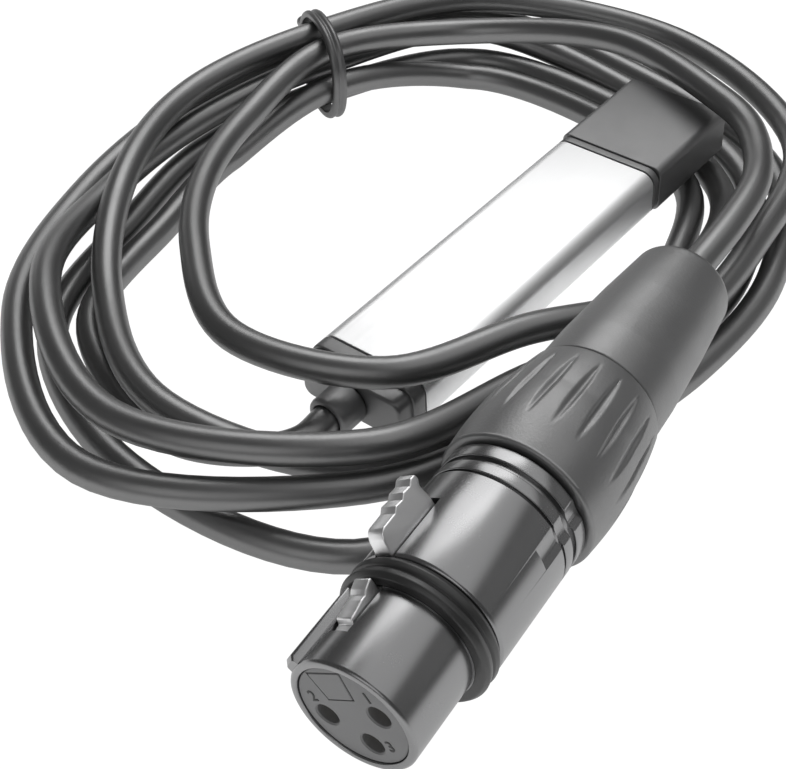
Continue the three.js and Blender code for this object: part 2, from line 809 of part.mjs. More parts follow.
function gripCollar() {
  const around = fluteCount * fluteSteps;
  const rows = [];
  const frontFace = collarStart;
  for (let j = 0; j <= fluteRows; j += 1) {
    const share = j / fluteRows;
    rows.push({ x: frontFace + collarLength * share, share });
  }
  const positions = [];
  const rings = [];
  const addRing = (x, radiusAt) => {
    rings.push(positions.length / 3);
    for (let k = 0; k < around; k += 1) {
      const turn = k / around;
      const r = radiusAt(turn);
      positions.push(x, Math.sin(turn * Math.PI * 2) * r, Math.cos(turn * Math.PI * 2) * r);
    }
  };
  addRing(frontFace, () => collarBore);
  addRing(frontFace, () => collarRadiusAt(0) - collarEdge);
  rows.slice(0, -1).forEach(({ x, share }, j) => {
    const lead = j === 0 ? collarEdge : 0;
    addRing(x + lead, (turn) => collarRadiusAt(share) - fluteDepthAt(share, turn));
  });
  addRing(rows[fluteRows].x - collarEdge, () => collarRadiusAt(1));
  addRing(rows[fluteRows].x, () => collarRadiusAt(1) - collarEdge);
  addRing(rows[fluteRows].x, () => collarBore);
  const index = [];
  for (let j = 0; j < rings.length; j += 1) {
    const here = rings[j];
    const there = rings[(j + 1) % rings.length];
    for (let k = 0; k < around; k += 1) {
      const next = (k + 1) % around;
      index.push(here + k, there + k, here + next, here + next, there + k, there + next);
    }
  }
  const collar = new THREE.BufferGeometry();
  collar.setAttribute('position', new THREE.Float32BufferAttribute(positions, 3));
  collar.setIndex(index);
  const spigotStart = frontFace - collarSpigotLength;
  const spigot = ringOf([
    [spigotStart, collarBore], [spigotStart, spigotRadius],
    [frontFace + clearance, spigotRadius], [frontFace + clearance, collarBore],
  ], 48);
  return join(collar, spigot);
}

// The sleeve's inner collar sits in the grip, and its tail closes on the cord
function tailSleeve() {
  const end = sleeveStart + sleeveLength;
  const taper = (x) => {
    const share = (x - sleeveStart) / sleeveLength;
    return sleeveFrontRadius + (sleeveEndRadius - sleeveFrontRadius) * share;
  };
  const mid = sleeveStart + sleeveLength / 2;
  return turned([
    [sleeveStart - sleeveCollarLength, 0],
    [sleeveStart - sleeveCollarLength, collarBore - clearance],
    [sleeveStart, collarBore - clearance],
    [sleeveStart, sleeveFrontRadius - noseEdge], [sleeveStart + noseEdge, sleeveFrontRadius],
    [mid, taper(mid) + clearance], [end - sleeveEndRound, taper(end - sleeveEndRound)],
    [end - sleeveEndRound / 3, sleeveEndRadius - sleeveEndRound / 3],
    [end, sleeveEndRadius - sleeveEndRound], [end, 0],
  ], 40);
}

function buildConnector() {
  const connector = new THREE.Group();
  place(connector, 'connector_shell', connectorShell(), blackMetal());
  place(connector, 'bumper_ring', bumperRing(), blackRubber());
  place(connector, 'connector_insert', connectorInsert(), darkPlastic());
  contactPlaces.forEach(([y, z], i) => {
    place(connector, `connector_contact_${i + 1}`, connectorContact(y, z), gold());
    place(connector, `connector_wire_${i + 1}`, connectorWire(y, z), finish(wireColors[i], 0.5, 0));
  });
  place(connector, 'latch_lever', latchLever(), brightSteel());
  place(connector, 'latch_pin', leverPin(), brightSteel());
  place(connector, 'latch_spring', latchSpring(), brightSteel());
  place(connector, 'cable_chuck', cableChuck(), darkPlastic());
  place(connector, 'grip_collar', gripCollar(), softRubber());
  place(connector, 'tail_sleeve', tailSleeve(), softRubber());
  return connector;
}

// Station points of the coil, pass by pass, clockwise seen from above
function coilStations() {
  const points = [];
  turnRadiusShares.forEach((radii, turn) => {
    radii.forEach((share, station) => {
      const angle = Math.PI - station * 2 * Math.PI / stationsPerTurn;
      const lift = station === tieStation ? tieLift : 0;
      const level = turnLevelShares[turn][station];
      points.push(new THREE.Vector3(
        coilCentre.x + Math.cos(angle) * share * coilRadius,
        coilCentre.y + Math.sin(angle) * share * coilRadius,
        cordDiameter / 2 + level * strandPitch + lift,
      ));
    });
  });
  return points;
}

// The whole route: lead-in, coil and lead-out on one smooth line
function cordRoute(stick, connector) {
  stick.updateMatrixWorld(true);
  connector.updateMatrixWorld(true);
  const glandEnd = stick.localToWorld(new THREE.Vector3(glandRear - clearance, 0, stickMiddle));
  const glandWay = stick.localToWorld(new THREE.Vector3(glandRear - clearance - cordDiameter, 0, stickMiddle))
    .sub(glandEnd).normalize();
  const tailX = connectorLength + clearance;
  const tailEnd = connector.localToWorld(new THREE.Vector3(tailX, 0, 0));
  const tailOut = connector.localToWorld(new THREE.Vector3(tailX + cordDiameter, 0, 0));
  const tailWay = tailEnd.clone().sub(tailOut).normalize();
  const stations = coilStations();
  const control = [
    glandEnd, glandEnd.clone().addScaledVector(glandWay, cordDiameter),
    ...leadInPoints.map((p) => new THREE.Vector3(...p)),
    ...stations,
    ...leadOutPoints.map((p) => new THREE.Vector3(...p)),
    tailOut, tailEnd,
  ];
  const curve = new THREE.CatmullRomCurve3(control, false, 'centripetal');
  const firstStation = 2 + leadInPoints.length;
  const spans = control.length - 1;
  return {
    curve, glandWay, tailWay, spans,
    coilFrom: firstStation / spans,
    coilTo: (firstStation + stations.length - 1) / spans,
    turns: (stations.length - 1) / stationsPerTurn,
  };
}

// Points along the route, nowhere lower than a cord that lies on the bench
function sampled(curve, from, to, steps) {
  const points = [];
  for (let i = 0; i <= steps; i += 1) {
    const point = curve.getPoint(from + (to - from) * i / steps);
    point.z = Math.max(point.z, cordDiameter / 2);
    points.push(point);
  }
  return points;
}

// One stretch of the route, drawn back at its inner ends so that the stretches meet face to face
function stretch(route, from, to, steps, sides) {
  const { curve, glandWay, tailWay } = route;
  const points = sampled(curve, from, to, steps);
  const startWay = from === 0 ? glandWay : curve.getTangent(from);
  const endWay = to === 1 ? tailWay : curve.getTangent(to);
  if (from !== 0) points[0].addScaledVector(startWay, clearance / 2);
  if (to !== 1) points[steps].addScaledVector(endWay, -clearance / 2);
  return { points, geometry: tubeAlong(points, cordDiameter / 2, sides, startWay, endWay) };
}

// Half width of a tube's section at one ring, measured on its corners along a direction
function halfWidth(geometry, sides, ring, centre, direction) {
  const corners = geometry.attributes.position;
  const corner = new THREE.Vector3();
  let widest = 0;
  for (let k = 0; k < sides; k += 1) {
    corner.fromBufferAttribute(corners, ring * sides + k).sub(centre);
    widest = Math.max(widest, corner.dot(direction));
  }
  return widest;
}

// Least gap of the coil to itself between strands that lie half a turn or more apart
function leastGap(points, geometry, sides) {
  let least = Infinity;
  for (let i = 0; i < points.length; i += 1) {
    for (let j = i + coilStepsPerTurn / 2; j < points.length - 1; j += 1) {
      const near = new THREE.Line3(points[j], points[j + 1])
        .closestPointToPoint(points[i], true, new THREE.Vector3());
      const across = near.clone().sub(points[i]);
      const distance = across.length();
      if (distance > cordDiameter * 2) continue;
      const outward = across.normalize();
      const here = halfWidth(geometry, sides, i, points[i], outward);
      const there = halfWidth(geometry, sides, j, points[j], outward.clone().negate());
      least = Math.min(least, distance - here - there);
    }
  }
  return least;
}

function buildCord(bench, route) {
  const { curve, coilFrom, coilTo, turns } = route;
  const coilSteps = Math.round(turns * coilStepsPerTurn);
  const leadIn = stretch(route, 0, coilFrom, leadInSteps, cordSides);
  const coil = stretch(route, coilFrom, coilTo, coilSteps, coilSides);
  const leadOut = stretch(route, coilTo, 1, leadOutSteps, cordSides);
  place(bench, 'cord_lead_in', leadIn.geometry, blackRubber());
  place(bench, 'cord_coil', coil.geometry, blackRubber());
  place(bench, 'cord_lead_out', leadOut.geometry, blackRubber());
  const gap = leastGap(coil.points, coil.geometry, coilSides);
  console.log(`cord length ${curve.getLength().toFixed(0)} mm`);
  console.log(`least gap of the coil to itself ${gap.toFixed(2)} mm`);
}

// Outline of the strap round the bundle, an oval grown outward by a given thickness
function strapOutline(grow) {
  const width = tieInnerWidth / 2 + grow;
  const height = tieInnerHeight / 2 + grow;
  return Array.from({ length: tieSteps }, (_, i) => {
    const turn = i / tieSteps * Math.PI * 2;
    const c = Math.cos(turn);
    const s = Math.sin(turn);
    return new THREE.Vector2(
      Math.sign(c) * Math.abs(c) ** tieSquareness * width,
      Math.sign(s) * Math.abs(s) ** tieSquareness * height,
    );
  });
}

// Strap: an oval band across the bundle, with the short free end of its tongue
function cableTie() {
  const shape = new THREE.Shape(strapOutline(tieThickness));
  shape.holes.push(new THREE.Path(strapOutline(0)));
  const band = new THREE.ExtrudeGeometry(shape, { depth: tieBandWidth, bevelEnabled: false });
  band.translate(0, 0, -tieBandWidth / 2);
  const nub = new THREE.CylinderGeometry(tieNubRadius, tieNubRadius, tieNubLength, 12);
  nub.rotateZ(Math.PI / 2).translate(
    (tieInnerWidth + tieNubLength) / 2, tieInnerHeight * tieNubHeightShare, 0,
  );
  const tie = join(band, nub);
  return tie.rotateX(Math.PI / 2).rotateZ(tieAngle);
}

function placeTie(bench) {
  const shares = turnRadiusShares.map((radii) => radii[tieStation]);
  const middle = (Math.min(...shares) + Math.max(...shares)) / 2 * coilRadius;
  const mesh = place(bench, 'cable_tie', cableTie(), softRubber());
  mesh.position.set(
    coilCentre.x + Math.cos(tieAngle) * middle,
    coilCentre.y + Math.sin(tieAngle) * middle,
    tieInnerHeight / 2 + tieThickness,
  );
}

const stick = buildStick();
stick.position.set(-tubeStart, 0, 0);
stick.rotation.y = -stickTilt;
stick.position.z = -new THREE.Box3().setFromObject(stick, true).min.z;

const connector = buildConnector();
connector.position.copy(connectorFace);
connector.rotation.set(connectorRoll, -connectorRise, connectorHeading, 'ZYX');

const bench = new THREE.Group();
bench.add(stick, connector);
buildCord(bench, cordRoute(stick, connector));
placeTie(bench);

// The origin is under the middle of the stick, on the table
const stickBox = new THREE.Box3().setFromObject(stick, true);
bench.position.x = -(stickBox.min.x + stickBox.max.x) / 2;

const part = new THREE.Group();
part.add(bench);
part.updateMatrixWorld(true);

export default part;
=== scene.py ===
import math

import bpy
import numpy as np
from mathutils import Matrix, Vector


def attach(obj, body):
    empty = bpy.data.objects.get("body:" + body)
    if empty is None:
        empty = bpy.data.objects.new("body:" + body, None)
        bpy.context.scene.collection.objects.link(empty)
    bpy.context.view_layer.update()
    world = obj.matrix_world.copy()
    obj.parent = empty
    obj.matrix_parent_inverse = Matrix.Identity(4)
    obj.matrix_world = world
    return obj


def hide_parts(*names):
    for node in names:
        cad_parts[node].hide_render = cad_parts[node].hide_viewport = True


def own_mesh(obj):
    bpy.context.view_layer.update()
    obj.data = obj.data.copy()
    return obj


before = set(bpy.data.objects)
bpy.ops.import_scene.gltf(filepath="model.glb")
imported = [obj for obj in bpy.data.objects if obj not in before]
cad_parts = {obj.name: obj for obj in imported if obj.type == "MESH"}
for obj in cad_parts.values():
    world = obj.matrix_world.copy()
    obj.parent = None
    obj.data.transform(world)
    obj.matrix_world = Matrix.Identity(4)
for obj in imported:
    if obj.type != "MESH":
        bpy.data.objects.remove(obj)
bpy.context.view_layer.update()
print("frame loaded")

# Sizes are in millimetres and degrees, and become metres when a mesh is made
mm = 0.001
# Edges that bend by more than this stay crisp
sharpAngle = 38
# A corner, once drawn in, keeps at least this radius
leastCorner = 0.05
# An arc at a corner takes up at most this share of a side
arcShare = 0.49

# Poses shared with the CAD model


# Rotation by an angle in degrees about one axis, as a 3 by 3 array.
def turnAbout(axis, degrees):
    return np.array(Matrix.Rotation(math.radians(degrees), 3, axis))


stick = {
    "origin": np.array([-38.9741, 0.0, -0.1953]),
    "turn": turnAbout("Y", -4),
    "width": 18.0, "height": 7.8, "corner": 2.2,
}
connector = {
    "origin": np.array([-83.5741, -37.4, 9.5]),
    "turn": turnAbout("Z", 5.9) @ turnAbout("Y", -4.8) @ turnAbout("X", -34),
}
stickMiddle = stick["height"] / 2
# The cord is laid out from the CAD model's own origin, which stands here in the frame
layoutOrigin = np.array([-33.57407, 0, 0])


# Turns local points by the pose and adds its origin.
def toBench(points, pose):
    return points @ pose["turn"].T + pose["origin"]


# An object of the given data, put into the scene.
def addObject(name, data):
    made = bpy.data.objects.new(name, data)
    bpy.context.collection.objects.link(made)
    return made


# Camera, at the photograph's viewing angle, with its place and nearest view in metres
view = {
    "place": (-0.16337, -0.1069, 0.1437),
    "forward": (0.5978, 0.479, -0.6428),
    "right": (0.6252, -0.7804, 0.0),
    "lens": 73.33, "sensor": 36.0, "nearest": 0.01,
}


# The camera's axes are right, up and back, where up is right crossed with forward.
def addCamera(view):
    data = bpy.data.cameras.new("photoCamera")
    data.sensor_fit = "HORIZONTAL"
    data.sensor_width = view["sensor"]
    data.lens = view["lens"]
    data.clip_start = view["nearest"]
    camera = addObject("photoCamera", data)
    forward = Vector(view["forward"]).normalized()
    right = Vector(view["right"]).normalized()
    up = right.cross(forward).normalized()
    turn = Matrix((right, up, -forward)).transposed()
    camera.matrix_world = Matrix.Translation(view["place"]) @ turn.to_4x4()
    bpy.context.scene.camera = camera


addCamera(view)

# Meshes


# Vectors brought to length one.
def unitRows(rows):
    return rows / np.linalg.norm(rows, axis=-1, keepdims=True)


# A mesh from points and faces, its faces turned outwards by the sign of its volume.
def makePiece(name, points, faces, pose=None, sharp=sharpAngle, uv=None):
    if pose is not None:
        points = toBench(points, pose)
    quads = np.array([f for f in faces if len(f) == 4])
    corners = points[quads]
    around = np.cross(corners[:, 2] - corners[:, 0], corners[:, 3] - corners[:, 1])
    volume = (around * corners.mean(axis=1)).sum()
    for f in faces:
        if len(f) > 4:
            spokes = points[list(f)] - points[f[0]]
            volume += (np.cross(spokes[1:-1], spokes[2:]).sum(axis=0) * points[f[0]]).sum()
    if volume < 0:
        faces = [tuple(reversed(f)) for f in faces]
    mesh = bpy.data.meshes.new(name)
    mesh.from_pydata((points * mm).tolist(), [], [tuple(int(i) for i in f) for f in faces])
    mesh.shade_smooth()
    mesh.set_sharp_from_angle(angle=math.radians(sharp))
    if uv is not None:
        layer = mesh.uv_layers.new(name="UVMap")
        loops = np.empty(len(mesh.loops), dtype=np.int32)
        mesh.loops.foreach_get("vertex_index", loops)
        layer.data.foreach_set("uv", uv[loops].astype(np.float32).ravel())
    return addObject(name, mesh)


# Quads between neighbouring rings of a grid, and a face over each end unless it wraps round.
def skinFaces(rows, count, wrap=False):
    i = np.arange(rows if wrap else rows - 1)[:, None]
    k = np.arange(count)[None, :]
    after = (k + 1) % count
    below = (i + 1) % rows
    quads = np.stack([i * count + k, i * count + after, below * count + after, below * count + k], -1)
    faces = [tuple(q) for q in quads.reshape(-1, 4).tolist()]
    if not wrap:
        faces.append(tuple(range(count - 1, -1, -1)))
        faces.append(tuple(range((rows - 1) * count, rows * count)))
    return faces


# A polygon of (u, v, radius) corners with each corner replaced by an arc between its two sides.
def roundCorners(corners, closed=True, steps=5):
    count = len(corners)
    out = []
    for i, (u, v, radius) in enumerate(corners):
        here = np.array([u, v])
        if radius <= 0 or (not closed and i in (0, count - 1)):
            out.append(here)
            continue
        before = np.array(corners[i - 1][:2]) - here
        after = np.array(corners[(i + 1) % count][:2]) - here
        lengths = np.linalg.norm(before), np.linalg.norm(after)
        before, after = before / lengths[0], after / lengths[1]
        half = math.acos(np.clip(before @ after, -1, 1)) / 2
        reach = min(radius / math.tan(half), arcShare * min(lengths))
        radius = reach * math.tan(half)
        middle = here + (before + after) / np.linalg.norm(before + after) * radius / math.sin(half)
        start = here + before * reach - middle
        end = here + after * reach - middle
        share = np.linspace(0, 1, steps)[:, None]
        out.extend(middle + unitRows(start * (1 - share) + end * share) * radius)
    return np.array(out)


# Rounded rectangle about the middle: four quarter circles, joined by straight sides.
def boxLoop(width, height, radius, perCorner=9):
    turn = np.linspace(0, math.pi / 2, perCorner)
    signs = np.array([[1, 1], [-1, 1], [-1, -1], [1, -1]])
    loops = []
    for quarter, (sy, sz) in enumerate(signs):
        angle = turn + quarter * math.pi / 2
        loops.append(np.stack([
            sy * (width / 2 - radius) + np.cos(angle) * radius,
            sz * (height / 2 - radius) + np.sin(angle) * radius,
        ], -1))
    return np.concatenate(loops)


# Sine and cosine of a full turn, times the radius, about a place in (y, z).
def circleLoop(radius, place=(0, 0), segments=48):
    angle = np.arange(segments) / segments * 2 * math.pi
    return np.column_stack([place[0] + radius * np.sin(angle), place[1] + radius * np.cos(angle)])


# Loops of (y, z) points set at their x and skinned one to the next, as points and faces.
def stackLoops(stations, wrap=False):
    points = np.concatenate([np.column_stack([np.full(len(loop), x), loop]) for x, loop in stations])
    return points, skinFaces(len(stations), len(stations[0][1]), wrap)


# Turns a shape's points about X.
def turnShape(shape, degrees):
    points, faces = shape
    return points @ turnAbout("X", degrees).T, faces


# Rounded rectangles of (x, width, height, corner radius), joined along X at the stick's height.
def boxPiece(name, stations, wrap=False):
    loops = []
    for x, width, height, radius in stations:
        loop = boxLoop(width, height, min(radius, width / 2, height / 2))
        loops.append((x, loop + (0, stickMiddle)))
    points, faces = stackLoops(loops, wrap)
    return makePiece(name, points, faces, stick)


# A rounded rectangle as wide and high as twice its corner radius, which is a circle.
def roundStation(x, radius):
    return (x, 2 * radius, 2 * radius, radius)


# A section (width, height, corner radius) with its sides drawn in by an amount.
def drawnIn(section, amount):
    width, height, radius = section
    return (width - 2 * amount, height - 2 * amount, radius - amount)


# Stations that round an outer edge at x: facing -1 goes from the end face outwards, +1 back to it.
def rim(x, section, fillet, facing, steps=5):
    width, height, radius = section
    angle = np.linspace(0, math.pi / 2, steps)
    if facing > 0:
        angle = angle[::-1]
    inset = fillet * (1 - np.sin(angle))
    along = x - facing * fillet * (1 - np.cos(angle))
    return [
        (a, width - 2 * i, height - 2 * i, max(radius - i, leastCorner)) for a, i in zip(along, inset)
    ]


# Stations over the outside from start to end, with both edges rounded.
def overSides(start, end, section, edges):
    return rim(start, section, edges[0], -1) + rim(end, section, edges[1], 1)


# The connector's profile (x, radius) turned about X. swell(x, radius, turn) is taken off the radius.
def lathePiece(name, profile, segments, closed=True, swell=None, sharp=sharpAngle):
    turn = np.arange(segments) / segments
    x, radius, turn = np.broadcast_arrays(profile[:, :1], profile[:, 1:], turn)
    if swell is not None:
        radius = radius - swell(x, radius, turn)
    angle = turn * 2 * math.pi
    points = np.stack([x, radius * np.sin(angle), radius * np.cos(angle)], -1).reshape(-1, 3)
    return makePiece(name, points, skinFaces(len(profile), segments, closed), connector, sharp)


# A piece's own profile of (x, radius, rounding) turned about X.
def turnedPiece(name, spec, closed=True):
    profile = roundCorners(spec["profile"], closed, spec["steps"])
    return lathePiece(name, profile, spec["segments"], closed)


# The connector's outline of (x, z, rounding) carried across the slot along Y, its edges drawn in by the
# bevel along its normals.
def outlinePiece(name, spec):
    half, bevel = spec["half"], spec["bevel"]
    outline = roundCorners(spec["outline"], steps=spec["steps"])
    after, before = np.roll(outline, -1, axis=0), np.roll(outline, 1, axis=0)
    along = unitRows(after - before)
    inward = np.column_stack([-along[:, 1], along[:, 0]])
    area = (outline[:, 0] * after[:, 1] - outline[:, 1] * after[:, 0]).sum()
    inward *= math.copysign(1, area)
    rings = []
    for angle in np.linspace(0, math.pi / 2, 4):
        drawn = outline + inward * bevel * (1 - math.sin(angle))
        rings.append((-half + bevel * (1 - math.cos(angle)), drawn))
    rings += [(-y, drawn) for y, drawn in reversed(rings)]
    points = np.concatenate([
        np.column_stack([ring[:, 0], np.full(len(ring), y), ring[:, 1]]) for y, ring in rings
    ])
    return makePiece(name, points, skinFaces(len(rings), len(outline)), connector)


# Joins shapes to a piece, cuts others out of it, and keeps the result as its mesh.
def carve(piece, pose, join=(), cut=()):
    tools = []
    for points, faces, operation in [(*s, "UNION") for s in join] + [(*s, "DIFFERENCE") for s in cut]:
        tool = makePiece("tool", points, faces, pose)
        step = piece.modifiers.new("carve", "BOOLEAN")
        step.object, step.operation, step.solver = tool, operation, "EXACT"
        tools.append(tool)
    bpy.context.view_layer.update()
    graph = bpy.context.evaluated_depsgraph_get()
    mesh = bpy.data.meshes.new_from_object(piece.evaluated_get(graph))
    piece.modifiers.clear()
    piece.data = mesh
    mesh.name = piece.name
    mesh.shade_smooth()
    mesh.set_sharp_from_angle(angle=math.radians(sharpAngle))
    for tool in tools:
        bpy.data.objects.remove(tool)
    return piece


# Cord: the same route as in the CAD model
cord = {
    "diameter": 4.4, "sides": 20, "stepsPerSpan": 12, "sharpAngle": 60,
    "centre": (31.0, 15.0), "radius": 50.0, "pitch": 4.95, "stations": 12,
    "tieStation": 4, "tieLift": 1.7,
    "glandEnd": -5.2, "tailEnd": 80.3, "intoFitting": 1.2,
    "leadIn": [(-19.2, 3.2, 2.35)],
    "leadOut": [(69.5, -16.5, 17.2), (62.5, -22, 17.5), (54.5, -25.8, 17.9), (44.5, -27.8, 17.5)],
    "radiusShares": [
        [1.12, 1.05, 0.822, 0.82, 0.852, 1.06, 0.96, 0.898, 0.74, 0.736, 0.734, 1.052],
        [1.13, 0.99, 0.93, 0.976, 1.012, 1.28, 1.432, 1.282, 0.966, 0.856, 0.792, 1.14],
        [1.3, 1.156, 0.992, 0.942, 0.972, 1.216, 1.17, 1.106, 0.938, 0.842, 0.852, 1.18],
        [1.42, 1.248, 1.086, 1.042, 1.078, 1.325, 1.271, 1.212, 1.038, 0.944, 0.99, 1.33],
        [1.276, 1.162, 0.932, 0.924, 0.944, 1.178, 1.064, 1.002, 0.844, 0.73, 0.69, 0.842],
        [0.864, 0.726, 0.69, 0.74, 0.912, 1.03, 1.02, 0.99],
    ],
    "levelShares": [
        [0, 0, 0, 0, 0.7, 0, 0, 0, 0, 0, 0, 0.45],
        [1.15, 1.15, 1.9, 1.97, 1.93, 1.92, 1.1, 0.97, 1.05, 0.98, 1.02, 1.95],
        [1.95, 1.95, 1.1, 1, 0.95, 1.1, 0.1, 0, 0, 0, 0, 0.95],
        [1.05, 1.05, 0.8, 0.95, 0.93, 0.95, 0.1, 0, 0, 0, 0, 0],
        [0, 0, 0, 0, 0, 0, 0, 0, 0.9, 1.2, 1.8, 1.85],
        [1.85, 1.85, 1.8, 1.8, 1.8, 1.95, 2.8, 3],
    ],
}


# The place at an angle and a distance from the coil's middle, and at a height.
def onCoil(cord, angle, radius, height):
    x, y = cord["centre"]
    return layoutOrigin + np.stack([x + np.cos(angle) * radius, y + np.sin(angle) * radius, height], -1)


# Each station stands at its share of the radius and its level, a twelfth of a turn after the last.
def coilStations(cord):
    radii = np.concatenate(cord["radiusShares"]) * cord["radius"]
    levels = np.concatenate(cord["levelShares"]) * cord["pitch"]
    station = np.concatenate([np.arange(len(row)) for row in cord["radiusShares"]])
    angle = math.pi - station * 2 * math.pi / cord["stations"]
    lift = np.where(station == cord["tieStation"], cord["tieLift"], 0)
    return onCoil(cord, angle, radii, cord["diameter"] / 2 + levels + lift)


# The route's points: straight out of the gland, round the coil, and straight into the sleeve.
def cordControl(cord):
    across, out, tail = cord["diameter"], cord["glandEnd"], cord["tailEnd"]
    return np.concatenate([
        toBench(np.array([[out, 0, stickMiddle], [out - across, 0, stickMiddle]]), stick),
        np.array(cord["leadIn"]) + layoutOrigin,
        coilStations(cord),
        np.array(cord["leadOut"]) + layoutOrigin,
        toBench(np.array([[tail + across, 0, 0], [tail, 0, 0]]), connector),
    ])


# Centripetal Catmull-Rom: a cubic per span, with its end slopes set by the root of each chord.
def smoothPath(control, steps):
    first = 2 * control[0] - control[1]
    last = 2 * control[-1] - control[-2]
    p = np.concatenate([[first], control, [last]])
    p0, p1, p2, p3 = p[:-3], p[1:-2], p[2:-1], p[3:]
    spans = ((p0, p1), (p1, p2), (p2, p3))
    d0, d1, d2 = (np.sqrt(np.linalg.norm(b - a, axis=1))[:, None] for a, b in spans)
    out = ((p1 - p0) / d0 - (p2 - p0) / (d0 + d1) + (p2 - p1) / d1) * d1
    into = ((p2 - p1) / d1 - (p3 - p1) / (d1 + d2) + (p3 - p2) / d2) * d1
    t = (np.arange(steps) / steps)[None, :, None]
    p1, p2, out, into = (a[:, None, :] for a in (p1, p2, out, into))
    points = (
        (2 * t**3 - 3 * t**2 + 1) * p1 + (t**3 - 2 * t**2 + t) * out
        + (-2 * t**3 + 3 * t**2) * p2 + (t**3 - t**2) * into
    )
    return np.concatenate([points.reshape(-1, 3), control[-1:]])


# The smoothed route, kept above the bench and run a little way into both fittings.
def cordPath(cord):
    path = smoothPath(cordControl(cord), cord["stepsPerSpan"])
    path[:, 2] = np.maximum(path[:, 2], cord["diameter"] / 2)
    ends = [path[0] - path[1], path[-1] - path[-2]]
    ends = [e / np.linalg.norm(e) * cord["intoFitting"] for e in ends]
    return np.concatenate([[path[0] + ends[0]], path, [path[-1] + ends[1]]])


# Circles across the path: one axis level and square to it, the other square to both. The surface's own
# coordinates are the way round from the top, mirrored, and the way along.
def makeCord(cord):
    path = cordPath(cord)
    along = unitRows(np.gradient(path, axis=0))
    side = unitRows(np.cross([0, 0, 1], along))
    over = np.cross(along, side)
    share = np.arange(cord["sides"]) / cord["sides"]
    turn = share * 2 * math.pi
    radius = cord["diameter"] / 2
    rings = path[:, None] + radius * (
        np.cos(turn)[:, None] * side[:, None] + np.sin(turn)[:, None] * over[:, None]
    )
    steps = np.linalg.norm(np.diff(path, axis=0), axis=1)
    run = np.concatenate([[0], np.cumsum(steps)])
    around = np.abs(share * 2 - 1) * math.pi * radius
    uv = np.stack(np.meshgrid(around, run), -1).reshape(-1, 2) * mm
    faces = skinFaces(len(path), cord["sides"])
    piece = makePiece("cord", rings.reshape(-1, 3), faces, sharp=cord["sharpAngle"], uv=uv)
    return piece, path, run[-1]


cordPiece, cordLine, cordLength = makeCord(cord)


# Puts each piece on the body it rides and hides the nodes it stands for.
def declare(pieces):
    for piece, nodes, slot, body, _ in pieces:
        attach(piece, body)
        if nodes:
            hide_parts(*nodes)


# Each piece with its nodes, slot, body and finish
cordPieces = [
    (cordPiece, ["cord_lead_in", "cord_coil", "cord_lead_out"], "cord_jacket", "root", "jacket"),
]
declare(cordPieces)
print(f"cord made, {cordLength:.0f} mm")

# Interface stick: X from the rear cap to the pull-off cap
tube = {"start": 5.4, "end": 61.9, "wall": 0.9, "edges": (0.1, 0.1), "fit": 0.3}
section = (stick["width"], stick["height"], stick["corner"])
bore = drawnIn(section, tube["wall"])
spigot = drawnIn(bore, tube["fit"])


# Over the outside from end to end, and back along the bore.
def makeTube(tube):
    start, end = tube["start"], tube["end"]
    stations = overSides(start, end, section, tube["edges"])
    return boxPiece("aluminiumTube", stations + [(end, *bore), (start, *bore)], wrap=True)


frontFrame = {
    "back": 56.9, "face": 62.2, "front": 63.5, "edges": (0.08, 0.2), "hole": (12.6, 5.1, 0.5),
}


# Out of the plug's hole at the back, along the spigot, over the lip, and home through the hole.
def makeFrontFrame(frontFrame):
    back, face, front = frontFrame["back"], frontFrame["face"], frontFrame["front"]
    stations = [(back, *frontFrame["hole"]), (back, *spigot), (face, *spigot)]
    stations += overSides(face, front, section, frontFrame["edges"])
    return boxPiece("frontFrame", stations + [(front, *frontFrame["hole"])], wrap=True)


rearCap = {
    "bodyInset": 0.5, "bodyCorner": 1.6, "bodyEdge": 0.5, "neck": 2.9, "bore": 2.1, "boreStart": 3.7,
    "flange": (2.8, 5.1), "flangeEdges": (0.25, 0.15), "spigotEnd": 9.4,
}


# Out of the cord's bore, over the small body and the flange, and back inside along the spigot.
def makeRearCap(rearCap):
    start, end = rearCap["flange"]
    body = (*drawnIn(section, rearCap["bodyInset"])[:2], rearCap["bodyCorner"])
    stations = [roundStation(rearCap["boreStart"], rearCap["bore"]), roundStation(0, rearCap["neck"])]
    stations += rim(0, body, rearCap["bodyEdge"], -1) + [(start, *body)]
    stations += overSides(start, end, section, rearCap["flangeEdges"])
    stations += [(end, *spigot), (rearCap["spigotEnd"], *spigot)]
    stations += [roundStation(rearCap["spigotEnd"], rearCap["bore"])]
    return boxPiece("rearCap", stations, wrap=True)


cap = {
    "mouth": 63.8, "end": 83.5, "corner": 1.3, "edges": (0.15, 0.55),
    "pocket": (12.7, 5.2, 0.5), "floor": 4.6,
}


# From the pocket's floor out to the mouth, and over the outside to the far end.
def makeCap(cap):
    outside = (*section[:2], cap["corner"])
    stations = [(cap["end"] - cap["floor"], *cap["pocket"]), (cap["mouth"], *cap["pocket"])]
    return boxPiece("pullOffCap", stations + overSides(cap["mouth"], cap["end"], outside, cap["edges"]))


# x and radius: the cord's mouth, the rounded body, and the stem inside the rear cap
gland = {
    "profile": [
        (-3.6, 2.3), (-4.75, 2.3), (-4.9, 2.42), (-4.9, 2.6), (-4.82, 2.9), (-4.6, 3.12), (-4.3, 3.2),
        (-0.5, 3.2), (-0.3, 3.05), (-0.3, 2.6), (4.0, 2.6), (5.7, 1.8),
    ],
}


# Circles of the profile's radii, joined along X.
def makeGland(gland):
    return boxPiece("cordGland", [roundStation(x, radius) for x, radius in gland["profile"]])


